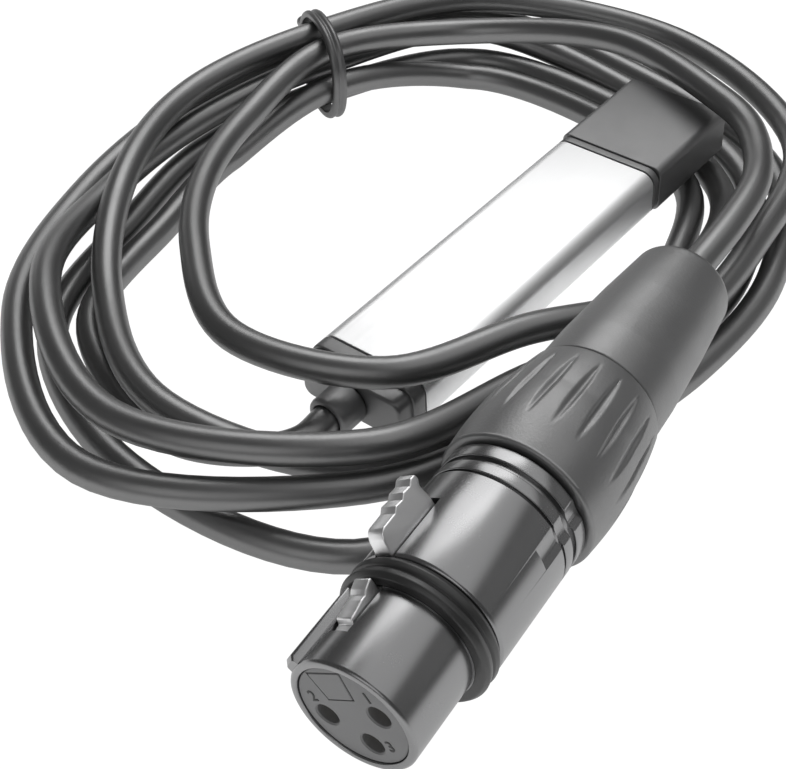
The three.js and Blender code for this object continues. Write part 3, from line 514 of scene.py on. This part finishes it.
stickPieces = [
    (makeTube(tube), ["stick_tube"], "tube_aluminium", "root", "tubeAluminium"),
    (makeFrontFrame(frontFrame), ["front_frame"], "housing_plastic", "root", "housingPlastic"),
    (makeRearCap(rearCap), ["rear_cap"], "housing_plastic", "root", "housingPlastic"),
    (makeCap(cap), ["usb_cap"], "housing_plastic", "cap", "housingPlastic"),
    (makeGland(gland), ["cord_gland"], "housing_plastic", "root", "housingPlastic"),
]
declare(stickPieces)
print("stick made")

# Connector: X from the front face to the tail, Z towards the latch. A profile's corners are x, radius and
# how far they are rounded
shell = {
    "segments": 192, "steps": 5,
    "profile": [
        (0, 7, 0.2), (0, 8, 0.6), (11.5, 8, 0), (11.5, 8.15, 0), (14.9, 8.15, 0), (14.9, 9.5, 0.55),
        (29.2, 9.5, 0.14), (29.2, 9.05, 0), (29.6, 9.05, 0), (29.6, 9.5, 0.14),
        (31.2, 9.5, 0.14), (31.2, 8.95, 0), (32.1, 8.95, 0), (32.1, 9.5, 0.14),
        (34.2, 9.5, 0.3), (34.2, 8.05, 0), (20.35, 8.05, 0), (20.35, 7, 0),
    ],
    "slot": (4.7, 24.4), "slotHalf": 1.55, "slotEdge": 9.15, "slotChamfer": 0.28, "slotTop": 14,
    # the rib's section, its turn from the latch, and its height share at each x
    "ribBase": 7.4, "ribTop": 9.1, "ribHalf": 1.2, "ribTopShare": 0.8, "ribRound": 0.4, "ribAngle": -30,
    "ribShares": [(0.25, 0.72), (0.75, 1), (11.2, 1)],
    "channel": (25.5, 35.2), "channelRadius": 3.6, "channelFloor": 9.05, "channelAngle": 97,
}


# A rounded rib whose height over its base grows along X by shares.
def ribShape(shell):
    base, top, half, rounding = shell["ribBase"], shell["ribTop"], shell["ribHalf"], shell["ribRound"]
    topHalf = half * shell["ribTopShare"]
    loop = roundCorners([
        (-half, base, 0), (half, base, 0), (topHalf, top, rounding), (-topHalf, top, rounding),
    ])
    stations = [(x, loop * (1, share) + (0, base * (1 - share))) for x, share in shell["ribShares"]]
    return turnShape(stackLoops(stations), shell["ribAngle"])


# A straight slot for the latch, chamfered where it leaves the shell.
def slotShape(shell):
    half, edge, chamfer, top = shell["slotHalf"], shell["slotEdge"], shell["slotChamfer"], shell["slotTop"]
    loop = np.array([
        (-half, 0), (half, 0), (half, edge), (half + chamfer, edge + chamfer), (half + chamfer, top),
        (-half - chamfer, top), (-half - chamfer, edge + chamfer), (-half, edge),
    ])
    return stackLoops([(x, loop) for x in shell["slot"]])


# A round bar that leaves a shallow channel where it dips below the shell's surface.
def channelShape(shell):
    radius = shell["channelRadius"]
    loop = circleLoop(radius, (0, shell["channelFloor"] + radius))
    return turnShape(stackLoops([(x, loop) for x in shell["channel"]]), shell["channelAngle"])


# The profile turned about X, with the rib joined on and the slot and the channel cut in.
def makeShell(shell):
    piece = turnedPiece("connectorShell", shell)
    return carve(piece, connector, join=[ribShape(shell)], cut=[slotShape(shell), channelShape(shell)])


# Two ridges with a valley between them
ring = {
    "segments": 128, "steps": 5,
    "profile": [
        (11.58, 8.17, 0), (11.58, 9.3, 0.4), (12.2, 9.75, 0.5), (12.95, 9.6, 0.3), (13.2, 9.2, 0.2),
        (13.45, 9.6, 0.3), (14.2, 9.75, 0.5), (14.82, 9.3, 0.4), (14.82, 8.17, 0),
    ],
}

insert = {
    "segments": 120, "face": 0.25, "back": 20.05, "radius": 6.92, "axis": 0.02, "edges": (0.15, 0.2),
    "holeCircle": 4.1, "holeRadius": 1.45, "mouthRadius": 1.6, "mouth": (0.02, 0.18), "cutter": (-1, 21),
    "plate": [(-2.5, 6.1, 0.2), (2.5, 6.1, 0.2), (1.9, 2.4, 0.15), (-1.9, 2.4, 0.15)],
    "grooveWidth": 0.26, "grooveDepth": 0.5, "channelFloor": 4.9, "channelTop": 8,
    "plateRise": 0.06, "plateEdge": 0.08, "plateFrontShare": 0.97, "plateFit": 0.02,
}
sockets = [(-insert["holeCircle"], 0), (insert["holeCircle"], 0), (0, -insert["holeCircle"])]


# Circles along X at a socket's place, wider through the face than behind it.
def socketShape(insert, place):
    face, wide, narrow = insert["face"], insert["mouthRadius"], insert["holeRadius"]
    mouth, neck = insert["mouth"]
    first, last = insert["cutter"]
    return stackLoops([
        (x, circleLoop(radius, place))
        for x, radius in ((first, wide), (face + mouth, wide), (face + neck, narrow), (last, narrow))
    ])


# The key plate's corners, moved away from their middle by the groove's width.
def grooveShape(insert):
    corners = np.array([corner[:2] for corner in insert["plate"]])
    middle = corners.mean(axis=0)
    grown = corners + unitRows(corners - middle) * insert["grooveWidth"]
    return stackLoops([(insert["cutter"][0], grown), (insert["face"] + insert["grooveDepth"], grown)])


# A rounded disc carried along X, less the sockets, the groove round the key plate and the latch's channel.
def makeInsert(insert):
    face, back, radius, axis = insert["face"], insert["back"], insert["radius"], insert["axis"]
    faceEdge, backEdge = insert["edges"]
    profile = [(face, axis, 0), (face, radius, faceEdge), (back, radius, backEdge), (back, axis, 0)]
    profile = roundCorners(profile, closed=False)
    piece = lathePiece("connectorInsert", profile, insert["segments"], closed=False)
    half, floor, top = shell["slotHalf"], insert["channelFloor"], insert["channelTop"]
    loop = np.array([(-half, floor), (half, floor), (half, top), (-half, top)])
    channel = stackLoops([(shell["slot"][0], loop), (insert["cutter"][1], loop)])
    shapes = [socketShape(insert, place) for place in sockets] + [grooveShape(insert), channel]
    return carve(piece, connector, cut=shapes)


# A thin raised plate: its outline carried through the groove's depth, with its front edge drawn in.
def makeKeyPlate(insert):
    loop = roundCorners(insert["plate"])
    middle = loop.mean(axis=0)
    front = insert["face"] - insert["plateRise"]
    back = insert["face"] + insert["grooveDepth"] - insert["plateFit"]
    shares = [(front, insert["plateFrontShare"]), (front + insert["plateEdge"], 1.0), (back, 1.0)]
    shape = stackLoops([(x, middle + (loop - middle) * share) for x, share in shares])
    return makePiece("keyPlate", *shape, connector)


numerals = {
    "size": 2.1, "thicker": 0.02, "rise": 0.06,
    "places": {"1": (-4.4, 2.7), "2": (4.3, 2.7), "3": (-2.6, -4.4)},
}


# A flat figure raised from the insert's face, read from in front with the latch on top.
def makeNumeral(figure, numerals):
    data = bpy.data.curves.new("numeral" + figure, "FONT")
    data.body = figure
    data.size = numerals["size"] * mm
    data.offset = numerals["thicker"] * mm
    data.extrude = numerals["rise"] * mm
    data.align_x, data.align_y = "CENTER", "CENTER"
    text = addObject("numeral" + figure, data)
    graph = bpy.context.evaluated_depsgraph_get()
    mesh = bpy.data.meshes.new_from_object(text.evaluated_get(graph))
    bpy.data.objects.remove(text)
    flat = np.empty(len(mesh.vertices) * 3)
    mesh.vertices.foreach_get("co", flat)
    flat = flat.reshape(-1, 3) / mm
    y, z = numerals["places"][figure]
    local = np.column_stack([insert["face"] - flat[:, 2], y - flat[:, 0], z + flat[:, 1]])
    mesh.vertices.foreach_set("co", (toBench(local, connector) * mm).ravel())
    mesh.update()
    return addObject("numeral" + figure, mesh)


collar = {
    "start": 34.5, "end": 53.6, "front": 10.35, "mid": 10.65, "rear": 9.2,
    # the belly is a half sine that ends at 1 / bellyRate of the run, and the taper starts at its share
    "bellyRate": 1.6, "taperShare": 0.45, "edge": 0.45, "endEdgeShare": 0.6, "lip": 0.5,
    "bore": 6.6, "stemRadius": 7.7, "stemRun": 5.5,
    "flutes": 20, "perFlute": 16, "rows": 80, "depth": 0.42, "fluteStart": 0.25, "fluteRun": 0.67,
    "fluteTip": 0.06, "fluteWidth": 0.33, "swellPower": 0.8, "hollowPower": 1.5, "wall": 1.2,
    "sharpAngle": 50,
}


# A stem inside the shell, a rounded front edge, a sine belly less a parabola's taper, and a rounded end.
def collarProfile(collar):
    start, end, edge = collar["start"], collar["end"], collar["edge"]
    share = np.linspace(0, 1, collar["rows"])
    belly = np.sin(np.minimum(share * collar["bellyRate"], 1) * math.pi) * (collar["mid"] - collar["front"])
    taper = np.maximum(share - collar["taperShare"], 0) / (1 - collar["taperShare"])
    radius = collar["front"] + belly - (collar["front"] - collar["rear"]) * taper**2
    endEdge = edge * collar["endEdgeShare"]
    x = start + edge + share * (end - start - edge - endEdge)
    bend = np.linspace(0, math.pi / 2, 5)
    front = np.column_stack([
        start + edge * (1 - np.sin(bend[:-1])), radius[0] - edge * (1 - np.cos(bend[:-1])),
    ])[::-1]
    rear = np.column_stack([
        x[-1] + endEdge * np.sin(bend[1:-1]), radius[-1] - endEdge * (1 - np.cos(bend[1:-1])),
    ])
    stem = start - collar["stemRun"]
    return np.concatenate([
        [[stem, collar["bore"]], [stem, collar["stemRadius"]], [start, collar["stemRadius"]]],
        front[:1] - (0, collar["lip"]), front, np.column_stack([x, radius]), rear,
        [[end, collar["rear"] - collar["lip"]], [end, collar["bore"]]],
    ])


# The profile turned about X, less pointed flutes whose width and depth swell and close along the piece.
def makeCollar(collar):
    def flutes(x, radius, turn):
        along = (x - collar["start"]) / (collar["end"] - collar["start"])
        along = np.clip((along - collar["fluteStart"]) / collar["fluteRun"], 0, 1)
        swell = np.sin(math.pi * along) ** collar["swellPower"]
        across = np.abs((turn * collar["flutes"]) % 1 - 0.5) * 2
        width = collar["fluteTip"] + collar["fluteWidth"] * swell
        hollow = np.clip(1 - (across / width) ** 2, 0, 1) ** collar["hollowPower"]
        return np.where(radius > collar["bore"] + collar["wall"], collar["depth"] * swell * hollow, 0)

    around = collar["flutes"] * collar["perFlute"]
    profile = collarProfile(collar)
    return lathePiece("gripCollar", profile, around, swell=flutes, sharp=collar["sharpAngle"])


# A taper whose long stretches are joined by wide arcs
sleeve = {
    "segments": 128, "steps": 9,
    "profile": [
        (51.5, 0.02, 0), (51.5, 6.3, 0), (53.9, 6.3, 0), (53.9, 8.8, 0.35), (60, 8.62, 8), (70, 7.85, 20),
        (80, 6.8, 1.5), (80, 2.6, 0.3), (78.7, 2.35, 0), (78.7, 0.02, 0),
    ],
}

# Hook, bridge under the bumper ring and stepped thumb pad, as one outline
lever = {
    "half": 1.25, "bevel": 0.2, "steps": 6,
    "outline": [
        (5, 7.1, 0), (23.75, 7.1, 0.3), (23.75, 10.1, 0.6), (23.35, 12.05, 0.8), (23.75, 12.75, 0.4),
        (23.65, 13.5, 0.4), (22.75, 13.5, 0.35), (22.1, 13.02, 0.3), (20.9, 13.1, 0.35),
        (20.25, 12.62, 0.3), (19.05, 12.75, 0.35), (18.4, 12.25, 0.3), (15.75, 12.2, 0.9),
        (15.2, 11.2, 1.2), (14.95, 9.6, 1.0), (14.95, 7.85, 0.2), (11.2, 7.85, 0.2), (11.2, 9.5, 0.25),
        (10.8, 9.6, 0.25), (9.75, 9.2, 0.4), (9.25, 8.75, 0.35), (8.5, 8.72, 0.6), (7.2, 8.45, 0.8),
        (6.2, 8.3, 0.3), (5.95, 7.6, 0.2), (5, 7.5, 0.1),
    ],
}

# The leaf spring under the thumb pad
spring = {
    "half": 1.1, "bevel": 0.04, "steps": 5, "foot": (15.25, 5.2), "keep": 0.38,
    "outline": [
        (15.25, 5.2, 0.15), (15.6, 5.2, 0.6), (22.25, 6.58, 0.3), (22.25, 6.8, 0.08), (22.0, 6.8, 0.3),
        (15.25, 5.4, 0.3),
    ],
}

tie = {
    "innerWidth": 16.6, "innerHeight": 15.2, "squareness": 0.85, "steps": 96,
    "thickness": 1.2, "band": 2.4, "inside": 0.02, "insideRound": 0.2,
    # two ridges: across and out, in shares of half the band and of its thickness, and the rounding
    "ridgeShares": [(1, 0.75, 0.4), (0.5, 1, 0.5), (0, 0.7, 0.3), (-0.5, 1, 0.5), (-1, 0.75, 0.4)],
    "nubSegments": 24, "nubLength": 2.6, "nubRadius": 1.0, "nubRootShare": 1.1, "nubRound": 0.6,
    "nubHeightShare": 0.2,
}


# A blunt cone out of the band's side, its root a little wider than its end.
def nubShape(tie):
    radius, length = tie["nubRadius"], tie["nubLength"]
    profile = roundCorners([
        (0, radius * tie["nubRootShare"], 0), (length, radius, tie["nubRound"]), (length, tie["inside"], 0),
    ], closed=False)
    start, height = tie["innerWidth"] / 2, tie["innerHeight"] * tie["nubHeightShare"]
    return stackLoops([
        (start + reach, circleLoop(r, (height, 0), tie["nubSegments"])[:, ::-1]) for reach, r in profile
    ])


# A two-ridged section carried round an oval, whose sine and cosine are taken to a power.
def makeTie(tie, cord):
    radii = np.array([row[cord["tieStation"]] for row in cord["radiusShares"]]) * cord["radius"]
    middle = (radii.min() + radii.max()) / 2
    degrees = 180 - cord["tieStation"] * 360 / cord["stations"]
    height = tie["innerHeight"] / 2 + tie["thickness"]
    origin = onCoil(cord, math.radians(degrees), middle, height)
    pose = {"turn": turnAbout("Z", degrees), "origin": origin}
    turn = np.arange(tie["steps"]) / tie["steps"] * 2 * math.pi
    c, s = np.cos(turn), np.sin(turn)
    power = tie["squareness"]
    unit = np.column_stack([np.sign(c) * np.abs(c) ** power, np.sign(s) * np.abs(s) ** power])
    half = np.array([tie["innerWidth"], tie["innerHeight"]]) / 2
    side, rounding = tie["band"] / 2, tie["insideRound"]
    corners = [(-side, tie["inside"], rounding), (side, tie["inside"], rounding)]
    corners += [(a * side, b * tie["thickness"], rounding) for a, b, rounding in tie["ridgeShares"]]
    loop = roundCorners(corners)
    grown = unit[None, :, :] * (half + loop[:, 1][:, None, None])
    across = np.repeat(loop[:, 0][:, None], tie["steps"], 1)
    rings = np.stack([grown[..., 0], across, grown[..., 1]], -1)
    band = makePiece("cableTie", rings.reshape(-1, 3), skinFaces(len(loop), tie["steps"], True), pose)
    return carve(band, pose, join=[nubShape(tie)])


springPiece = outlinePiece("latchSpring", spring)
connectorPieces = [
    (makeShell(shell), ["connector_shell"], "shell_metal", "root", "shellMetal"),
    (turnedPiece("bumperRing", ring), ["bumper_ring"], "bumper_rubber", "root", "bumperRubber"),
    (makeInsert(insert), ["connector_insert"], "insert_plastic", "root", "insertPlastic"),
    (makeKeyPlate(insert), [], "insert_plastic", "root", "insertPlastic"),
    (makeCollar(collar), ["grip_collar"], "grip_rubber", "root", "gripRubber"),
    (turnedPiece("tailSleeve", sleeve, closed=False), ["tail_sleeve"], "grip_rubber", "root", "gripRubber"),
    (outlinePiece("latchLever", lever), ["latch_lever"], "latch_steel", "latch", "latchSteel"),
    (springPiece, ["latch_spring"], "latch_steel", "root", "latchSteel"),
    (makeTie(tie, cord), ["cable_tie"], "tie_rubber", "root", "tieRubber"),
]
for figure in numerals["places"]:
    numeral = makeNumeral(figure, numerals)
    connectorPieces.append((numeral, [], "insert_plastic", "root", "numeralInk"))
declare(connectorPieces)
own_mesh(springPiece)

innerConnector = [f"connector_{kind}_{i}" for kind in ("contact", "wire") for i in (1, 2, 3)]
innerConnector += ["latch_pin", "cable_chuck"]
print("connector made")

# Materials


# A shader group with its sockets of (name, kind), and its two end nodes.
def nodeGroup(name, inputs, outputs):
    group = bpy.data.node_groups.new(name, "ShaderNodeTree")
    for way, sockets in (("INPUT", inputs), ("OUTPUT", outputs)):
        for label, kind in sockets:
            group.interface.new_socket(name=label, in_out=way, socket_type="NodeSocket" + kind)
    return group, group.nodes.new("NodeGroupInput"), group.nodes.new("NodeGroupOutput")


# A node with its attributes set, and each named or numbered socket linked to another or given a value.
def addNode(tree, kind, links=None, **settings):
    node = tree.nodes.new("ShaderNode" + kind)
    for key, value in settings.items():
        setattr(node, key, value)
    for socket, value in (links or {}).items():
        target = node.inputs[socket]
        if isinstance(value, bpy.types.NodeSocket):
            tree.links.new(value, target)
        else:
            target.default_value = value
    return node


# What every finish group takes in and gives out
finishInputs = [
    ("Vector", "Vector"), ("Colour", "Color"), ("Second Colour", "Color"), ("Rough Low", "Float"),
    ("Rough High", "Float"), ("Depth", "Float"),
]
finishOutputs = [("Colour", "Color"), ("Roughness", "Float"), ("Normal", "Vector")]


# A fine and a wide noise, blended, mix the colours and set the roughness. The fine one lifts the surface.
def endFinish(group, given, result, fine, wide, wideShare):
    both = addNode(group, "Mix", {
        0: wideShare, 2: fine.outputs["Fac"], 3: wide.outputs["Fac"],
    }, data_type="FLOAT")
    colour = addNode(group, "Mix", {
        0: both.outputs[0], 6: given.outputs["Colour"], 7: given.outputs["Second Colour"],
    }, data_type="RGBA")
    rough = addNode(group, "MapRange", {
        "Value": both.outputs[0], "From Min": 0.3, "From Max": 0.7,
        "To Min": given.outputs["Rough Low"], "To Max": given.outputs["Rough High"],
    })
    bump = addNode(group, "Bump", {
        "Height": fine.outputs["Fac"], "Distance": given.outputs["Depth"], "Strength": 1.0,
    })
    group.links.new(colour.outputs[2], result.inputs["Colour"])
    group.links.new(rough.outputs[0], result.inputs["Roughness"])
    group.links.new(bump.outputs[0], result.inputs["Normal"])


# Moulded grain: a fine noise of the given size, and one about seventeen times as wide.
def makeGrainGroup():
    group, given, result = nodeGroup("mouldedGrain", finishInputs + [("Size", "Float")], finishOutputs)
    vector, size = given.outputs["Vector"], given.outputs["Size"]
    fine = addNode(group, "TexNoise", {"Vector": vector, "Scale": size, "Detail": 3.0, "Roughness": 0.6})
    wideSize = addNode(group, "Math", {0: size, 1: 0.06}, operation="MULTIPLY")
    wide = addNode(group, "TexNoise", {"Vector": vector, "Scale": wideSize.outputs[0], "Detail": 4.0})
    endFinish(group, given, result, fine, wide, 0.5)
    return group


# Lines drawn along one axis: a noise stretched along X, under a wide and even one.
def makeBrushGroup():
    sizes = [("Along", "Float"), ("Across", "Float")]
    group, given, result = nodeGroup("drawnLines", finishInputs + sizes, finishOutputs)
    vector, along, across = (given.outputs[label] for label in ("Vector", "Along", "Across"))
    scale = addNode(group, "CombineXYZ", {0: along, 1: across, 2: across})
    stretched = addNode(group, "VectorMath", {0: vector, 1: scale.outputs[0]}, operation="MULTIPLY")
    lines = addNode(group, "TexNoise", {"Vector": stretched.outputs[0], "Scale": 1.0, "Detail": 2.0})
    wide = addNode(group, "TexNoise", {"Vector": vector, "Scale": 90.0, "Detail": 3.0})
    endFinish(group, given, result, lines, wide, 0.35)
    return group


# Marks of handling: broad soft patches that raise the roughness a little.
def makeHandlingGroup():
    group, given, result = nodeGroup("handlingMarks", [
        ("Vector", "Vector"), ("Roughness", "Float"), ("Amount", "Float"),
    ], [("Roughness", "Float")])
    patches = addNode(group, "TexNoise", {
        "Vector": given.outputs["Vector"], "Scale": 130.0, "Detail": 5.0, "Roughness": 0.65,
    })
    mask = addNode(group, "MapRange", {"Value": patches.outputs["Fac"], "From Min": 0.45, "From Max": 0.75})
    extra = addNode(group, "Math", {0: mask.outputs[0], 1: given.outputs["Amount"]}, operation="MULTIPLY")
    total = addNode(group, "Math", {0: given.outputs["Roughness"], 1: extra.outputs[0]}, operation="ADD")
    group.links.new(total.outputs[0], result.inputs["Roughness"])
    return group


# Each finish group with the inputs that only it has
finishGroups = {"grain": (makeGrainGroup(), ["Size"]), "brush": (makeBrushGroup(), ["Along", "Across"])}
handlingGroup = makeHandlingGroup()

# A finish is moulded grain unless its kind says otherwise. Sizes are noise scales, and depth is in
# thousandths of a millimetre
finishes = {
    "housingPlastic": dict(
        size=2600, colour=(0.06, 0.06, 0.062), second=(0.075, 0.075, 0.077), rough=(0.42, 0.5),
        depth=12, marks=0.06, gloss=1, bend=1.85,
    ),
    "gripRubber": dict(
        size=3200, colour=(0.042, 0.042, 0.044), second=(0.058, 0.058, 0.06), rough=(0.37, 0.45),
        depth=30, marks=0.06, gloss=1, bend=2, sheen=0.1,
    ),
    "bumperRubber": dict(
        size=2200, colour=(0.02, 0.02, 0.02), second=(0.028, 0.028, 0.028), rough=(0.34, 0.44),
        depth=10, marks=0.06, gloss=0.8,
    ),
    "tieRubber": dict(
        size=2000, colour=(0.03, 0.03, 0.031), second=(0.04, 0.04, 0.041), rough=(0.36, 0.46),
        depth=8, marks=0.05, gloss=1, bend=1.8,
    ),
    "shellMetal": dict(
        size=5200, colour=(0.28, 0.28, 0.283), second=(0.31, 0.31, 0.313), rough=(0.24, 0.27),
        depth=0.4, marks=0.02, metallic=1,
    ),
    "insertPlastic": dict(
        size=3000, colour=(0.21, 0.21, 0.213), second=(0.245, 0.245, 0.248), rough=(0.42, 0.52),
        depth=12, marks=0.05,
    ),
    "jacket": dict(
        size=2400, colour=(0.014, 0.014, 0.0145), second=(0.022, 0.022, 0.0225), rough=(0.34, 0.41),
        depth=12, marks=0.05, surface=True, gloss=1, bend=2,
    ),
    "tubeAluminium": dict(
        kind="brush", along=40, across=5200, colour=(0.95, 0.953, 0.956),
        second=(0.92, 0.923, 0.926), rough=(0.45, 0.5), depth=3, marks=0.05, metallic=1,
        turn=4,
    ),
    "latchSteel": dict(
        size=1400, colour=(0.95, 0.95, 0.955), second=(0.9, 0.9, 0.905), rough=(0.3, 0.4),
        depth=8, marks=0.06, metallic=1,
    ),
    "plugSteel": dict(
        kind="brush", along=60, across=3600, colour=(0.75, 0.75, 0.76), second=(0.66, 0.66, 0.67),
        rough=(0.18, 0.3), depth=3, marks=0.1, metallic=1, turn=4,
    ),
    "gold": dict(
        size=1500, colour=(0.66, 0.54, 0.34), second=(0.58, 0.47, 0.29), rough=(0.12, 0.2),
        depth=3, marks=0.05, metallic=1,
    ),
    "tonguePlastic": dict(
        size=2400, colour=(0.8, 0.8, 0.77), second=(0.74, 0.74, 0.71), rough=(0.4, 0.5),
        depth=6, marks=0.04,
    ),
    "boardLaminate": dict(
        size=900, colour=(0.015, 0.1, 0.045), second=(0.02, 0.13, 0.06), rough=(0.3, 0.42),
        depth=10, marks=0.04,
    ),
    "chipResin": dict(
        size=4000, colour=(0.015, 0.015, 0.015), second=(0.024, 0.024, 0.024), rough=(0.5, 0.65),
        depth=10, marks=0.03,
    ),
    "chipCeramic": dict(
        size=4000, colour=(0.42, 0.3, 0.18), second=(0.5, 0.37, 0.24), rough=(0.45, 0.55),
        depth=5, marks=0.03,
    ),
    "numeralInk": dict(
        size=3000, colour=(0.02, 0.02, 0.02), second=(0.03, 0.03, 0.03), rough=(0.42, 0.52),
        depth=4, marks=0.02,
    ),
}
for name, colour, second in (
    ("wireGrey", (0.3, 0.3, 0.3), (0.36, 0.36, 0.36)),
    ("wireRed", (0.42, 0.03, 0.02), (0.5, 0.04, 0.03)),
    ("wireWhite", (0.7, 0.7, 0.68), (0.76, 0.76, 0.74)),
):
    finishes[name] = dict(
        size=1800, colour=colour, second=second, rough=(0.35, 0.45), depth=4, marks=0.03,
    )


# The piece's own coordinates feed a finish group, whose roughness then takes the handling marks. What
# is the same all over the surface goes straight to the shader's sockets.
def makeMaterial(name, spec):
    material = bpy.data.materials.new(name)
    material.use_nodes = True
    tree = material.node_tree
    shader = tree.nodes["Principled BSDF"]
    source = addNode(tree, "TexCoord").outputs["UV" if spec.get("surface") else "Object"]
    if "turn" in spec:
        turned = addNode(tree, "Mapping", {"Vector": source, "Rotation": (0, math.radians(spec["turn"]), 0)})
        source = turned.outputs[0]
    group, ownInputs = finishGroups[spec.get("kind", "grain")]
    low, high = spec["rough"]
    finish = addNode(tree, "Group", {
        "Vector": source, "Colour": (*spec["colour"], 1), "Second Colour": (*spec["second"], 1),
        "Rough Low": low, "Rough High": high, "Depth": spec["depth"] * 0.001 * mm,
        **{label: spec[label.lower()] for label in ownInputs},
    }, node_tree=group)
    marks = addNode(tree, "Group", {
        "Vector": source, "Roughness": finish.outputs["Roughness"], "Amount": spec["marks"],
    }, node_tree=handlingGroup)
    tree.links.new(finish.outputs["Colour"], shader.inputs["Base Color"])
    tree.links.new(marks.outputs["Roughness"], shader.inputs["Roughness"])
    tree.links.new(finish.outputs["Normal"], shader.inputs["Normal"])
    for socket, key, plain in (
        ("Metallic", "metallic", 0.0), ("Specular IOR Level", "gloss", 0.5), ("IOR", "bend", 1.5),
        ("Sheen Weight", "sheen", 0.0),
    ):
        shader.inputs[socket].default_value = spec.get(key, plain)
    return material


materials = {name: makeMaterial(name, spec) for name, spec in finishes.items()}


# Puts a finish in each slot that a piece has, or in a new one.
def paint(piece, name):
    if len(piece.material_slots):
        for slot in piece.material_slots:
            slot.material = materials[name]
    else:
        piece.data.materials.append(materials[name])


for piece, *_, finish in cordPieces + stickPieces + connectorPieces:
    paint(piece, finish)

# Nodes of the CAD model that show as they are
nodeFinishes = {
    "plugSteel": ["usb_shell", "clock_crystal"], "tonguePlastic": ["usb_tongue"],
    "boardLaminate": ["circuit_board"], "chipResin": ["usb_bridge_chip", "line_driver_chip"],
    "latchSteel": ["latch_pin"], "insertPlastic": ["cable_chuck"],
    "gold": [f"usb_contact_{i}" for i in (1, 2, 3, 4)] + [f"connector_contact_{i}" for i in (1, 2, 3)],
    "chipCeramic": [f"chip_capacitor_{i}" for i in (1, 2, 3, 4)],
}
for i, name in enumerate(("wireGrey", "wireRed", "wireWhite"), 1):
    nodeFinishes[name] = [f"stick_wire_{i}", f"connector_wire_{i}"]
for name, nodes in nodeFinishes.items():
    for node in nodes:
        paint(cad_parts[node], name)
print("materials made")

# Floor, light and world, with their lengths in metres
studio = {
    # floorGlow is the floor's painted glow, seen by every ray but the camera's
    "floorHalf": 4.0, "floorReach": (0.12, 0.32), "floorRough": 0.9, "floorGlow": 0.6,
    "floorNear": (0.85, 0.85, 0.85, 1), "floorFar": (0.05, 0.05, 0.05, 1),
    "white": (1, 1, 1, 1), "backdrop": 1.08, "backdropShare": 0.9, "world": 0.12,
    "lights": [
        # name, azimuth and elevation in degrees, distance, size, brightness
        ("keyBox", 38, 52, 0.8, (0.5, 0.5), 2.3),
        ("fillBox", -40, 66, 0.9, (1.2, 0.8), 0.7),
        ("sideBox", -44, 20, 0.9, (0.9, 0.42), 0.15),
        ("backWall", 60, 5, 1.0, (0.9, 0.24), 0.8),
        ("frontBox", -165, 30, 0.9, (0.6, 0.6), 0.8),
    ],
}


# The camera sees almost an even white. Other rays see a table that darkens with its distance and glows near
# the middle: a painted pool of light round the object.
def paintFloor(material, studio):
    tree = material.node_tree
    shader = tree.nodes["Principled BSDF"]
    result = tree.nodes["Material Output"]
    coords = addNode(tree, "TexCoord")
    distance = addNode(tree, "VectorMath", {0: coords.outputs["Object"]}, operation="LENGTH")
    near, far = studio["floorReach"]
    fall = addNode(tree, "MapRange", {
        "Value": distance.outputs["Value"], "From Min": near, "From Max": far,
    }, interpolation_type="SMOOTHSTEP")
    colour = addNode(tree, "Mix", {
        0: fall.outputs[0], 6: studio["floorNear"], 7: studio["floorFar"],
    }, data_type="RGBA")
    tree.links.new(colour.outputs[2], shader.inputs["Base Color"])
    # The glow takes the same falling colour: painted light on the floor, brightest near the middle
    tree.links.new(colour.outputs[2], shader.inputs["Emission Color"])
    shader.inputs["Roughness"].default_value = studio["floorRough"]
    shader.inputs["Emission Strength"].default_value = studio["floorGlow"]
    white = addNode(tree, "Emission", {"Color": studio["white"], "Strength": studio["backdrop"]})
    path = addNode(tree, "LightPath")
    share = addNode(tree, "Math", {
        0: path.outputs["Is Camera Ray"], 1: studio["backdropShare"],
    }, operation="MULTIPLY")
    seen = addNode(tree, "MixShader", {0: share.outputs[0], 1: shader.outputs[0], 2: white.outputs[0]})
    tree.links.new(seen.outputs[0], result.inputs["Surface"])


# A level square about the origin.
def makeFloor(studio):
    half = studio["floorHalf"]
    corners = [(-half, -half, 0), (half, -half, 0), (half, half, 0), (-half, half, 0)]
    mesh = bpy.data.meshes.new("floor")
    mesh.from_pydata(corners, [], [(0, 1, 2, 3)])
    floor = addObject("floor", mesh)
    material = bpy.data.materials.new("paleFloor")
    material.use_nodes = True
    paintFloor(material, studio)
    mesh.materials.append(material)


# White all round: bright to the camera, dim to every other ray.
def makeWorld(studio):
    world = bpy.data.worlds.new("studio")
    bpy.context.scene.world = world
    world.use_nodes = True
    tree = world.node_tree
    path = addNode(tree, "LightPath")
    strength = addNode(tree, "MapRange", {
        "Value": path.outputs["Is Camera Ray"], "To Min": studio["world"], "To Max": studio["backdrop"],
    })
    tree.links.new(strength.outputs[0], tree.nodes["Background"].inputs["Strength"])
    tree.nodes["Background"].inputs["Color"].default_value = studio["white"]


# Each light stands at its distance in its direction and faces the origin. Its power is its brightness
# times its area times pi
def makeLights(studio):
    for name, azimuth, elevation, distance, size, brightness in studio["lights"]:
        data = bpy.data.lights.new(name, "AREA")
        data.shape = "RECTANGLE"
        data.size, data.size_y = size
        data.energy = brightness * math.pi * size[0] * size[1]
        light = addObject(name, data)
        turn, rise = math.radians(azimuth), math.radians(elevation)
        way = Vector((math.cos(turn) * math.cos(rise), math.sin(turn) * math.cos(rise), math.sin(rise)))
        light.location = way * distance
        light.rotation_euler = (-way).to_track_quat("-Z", "Y").to_euler()


makeFloor(studio)
makeWorld(studio)
makeLights(studio)
bpy.context.scene.view_settings.view_transform = "Standard"
print("studio made")
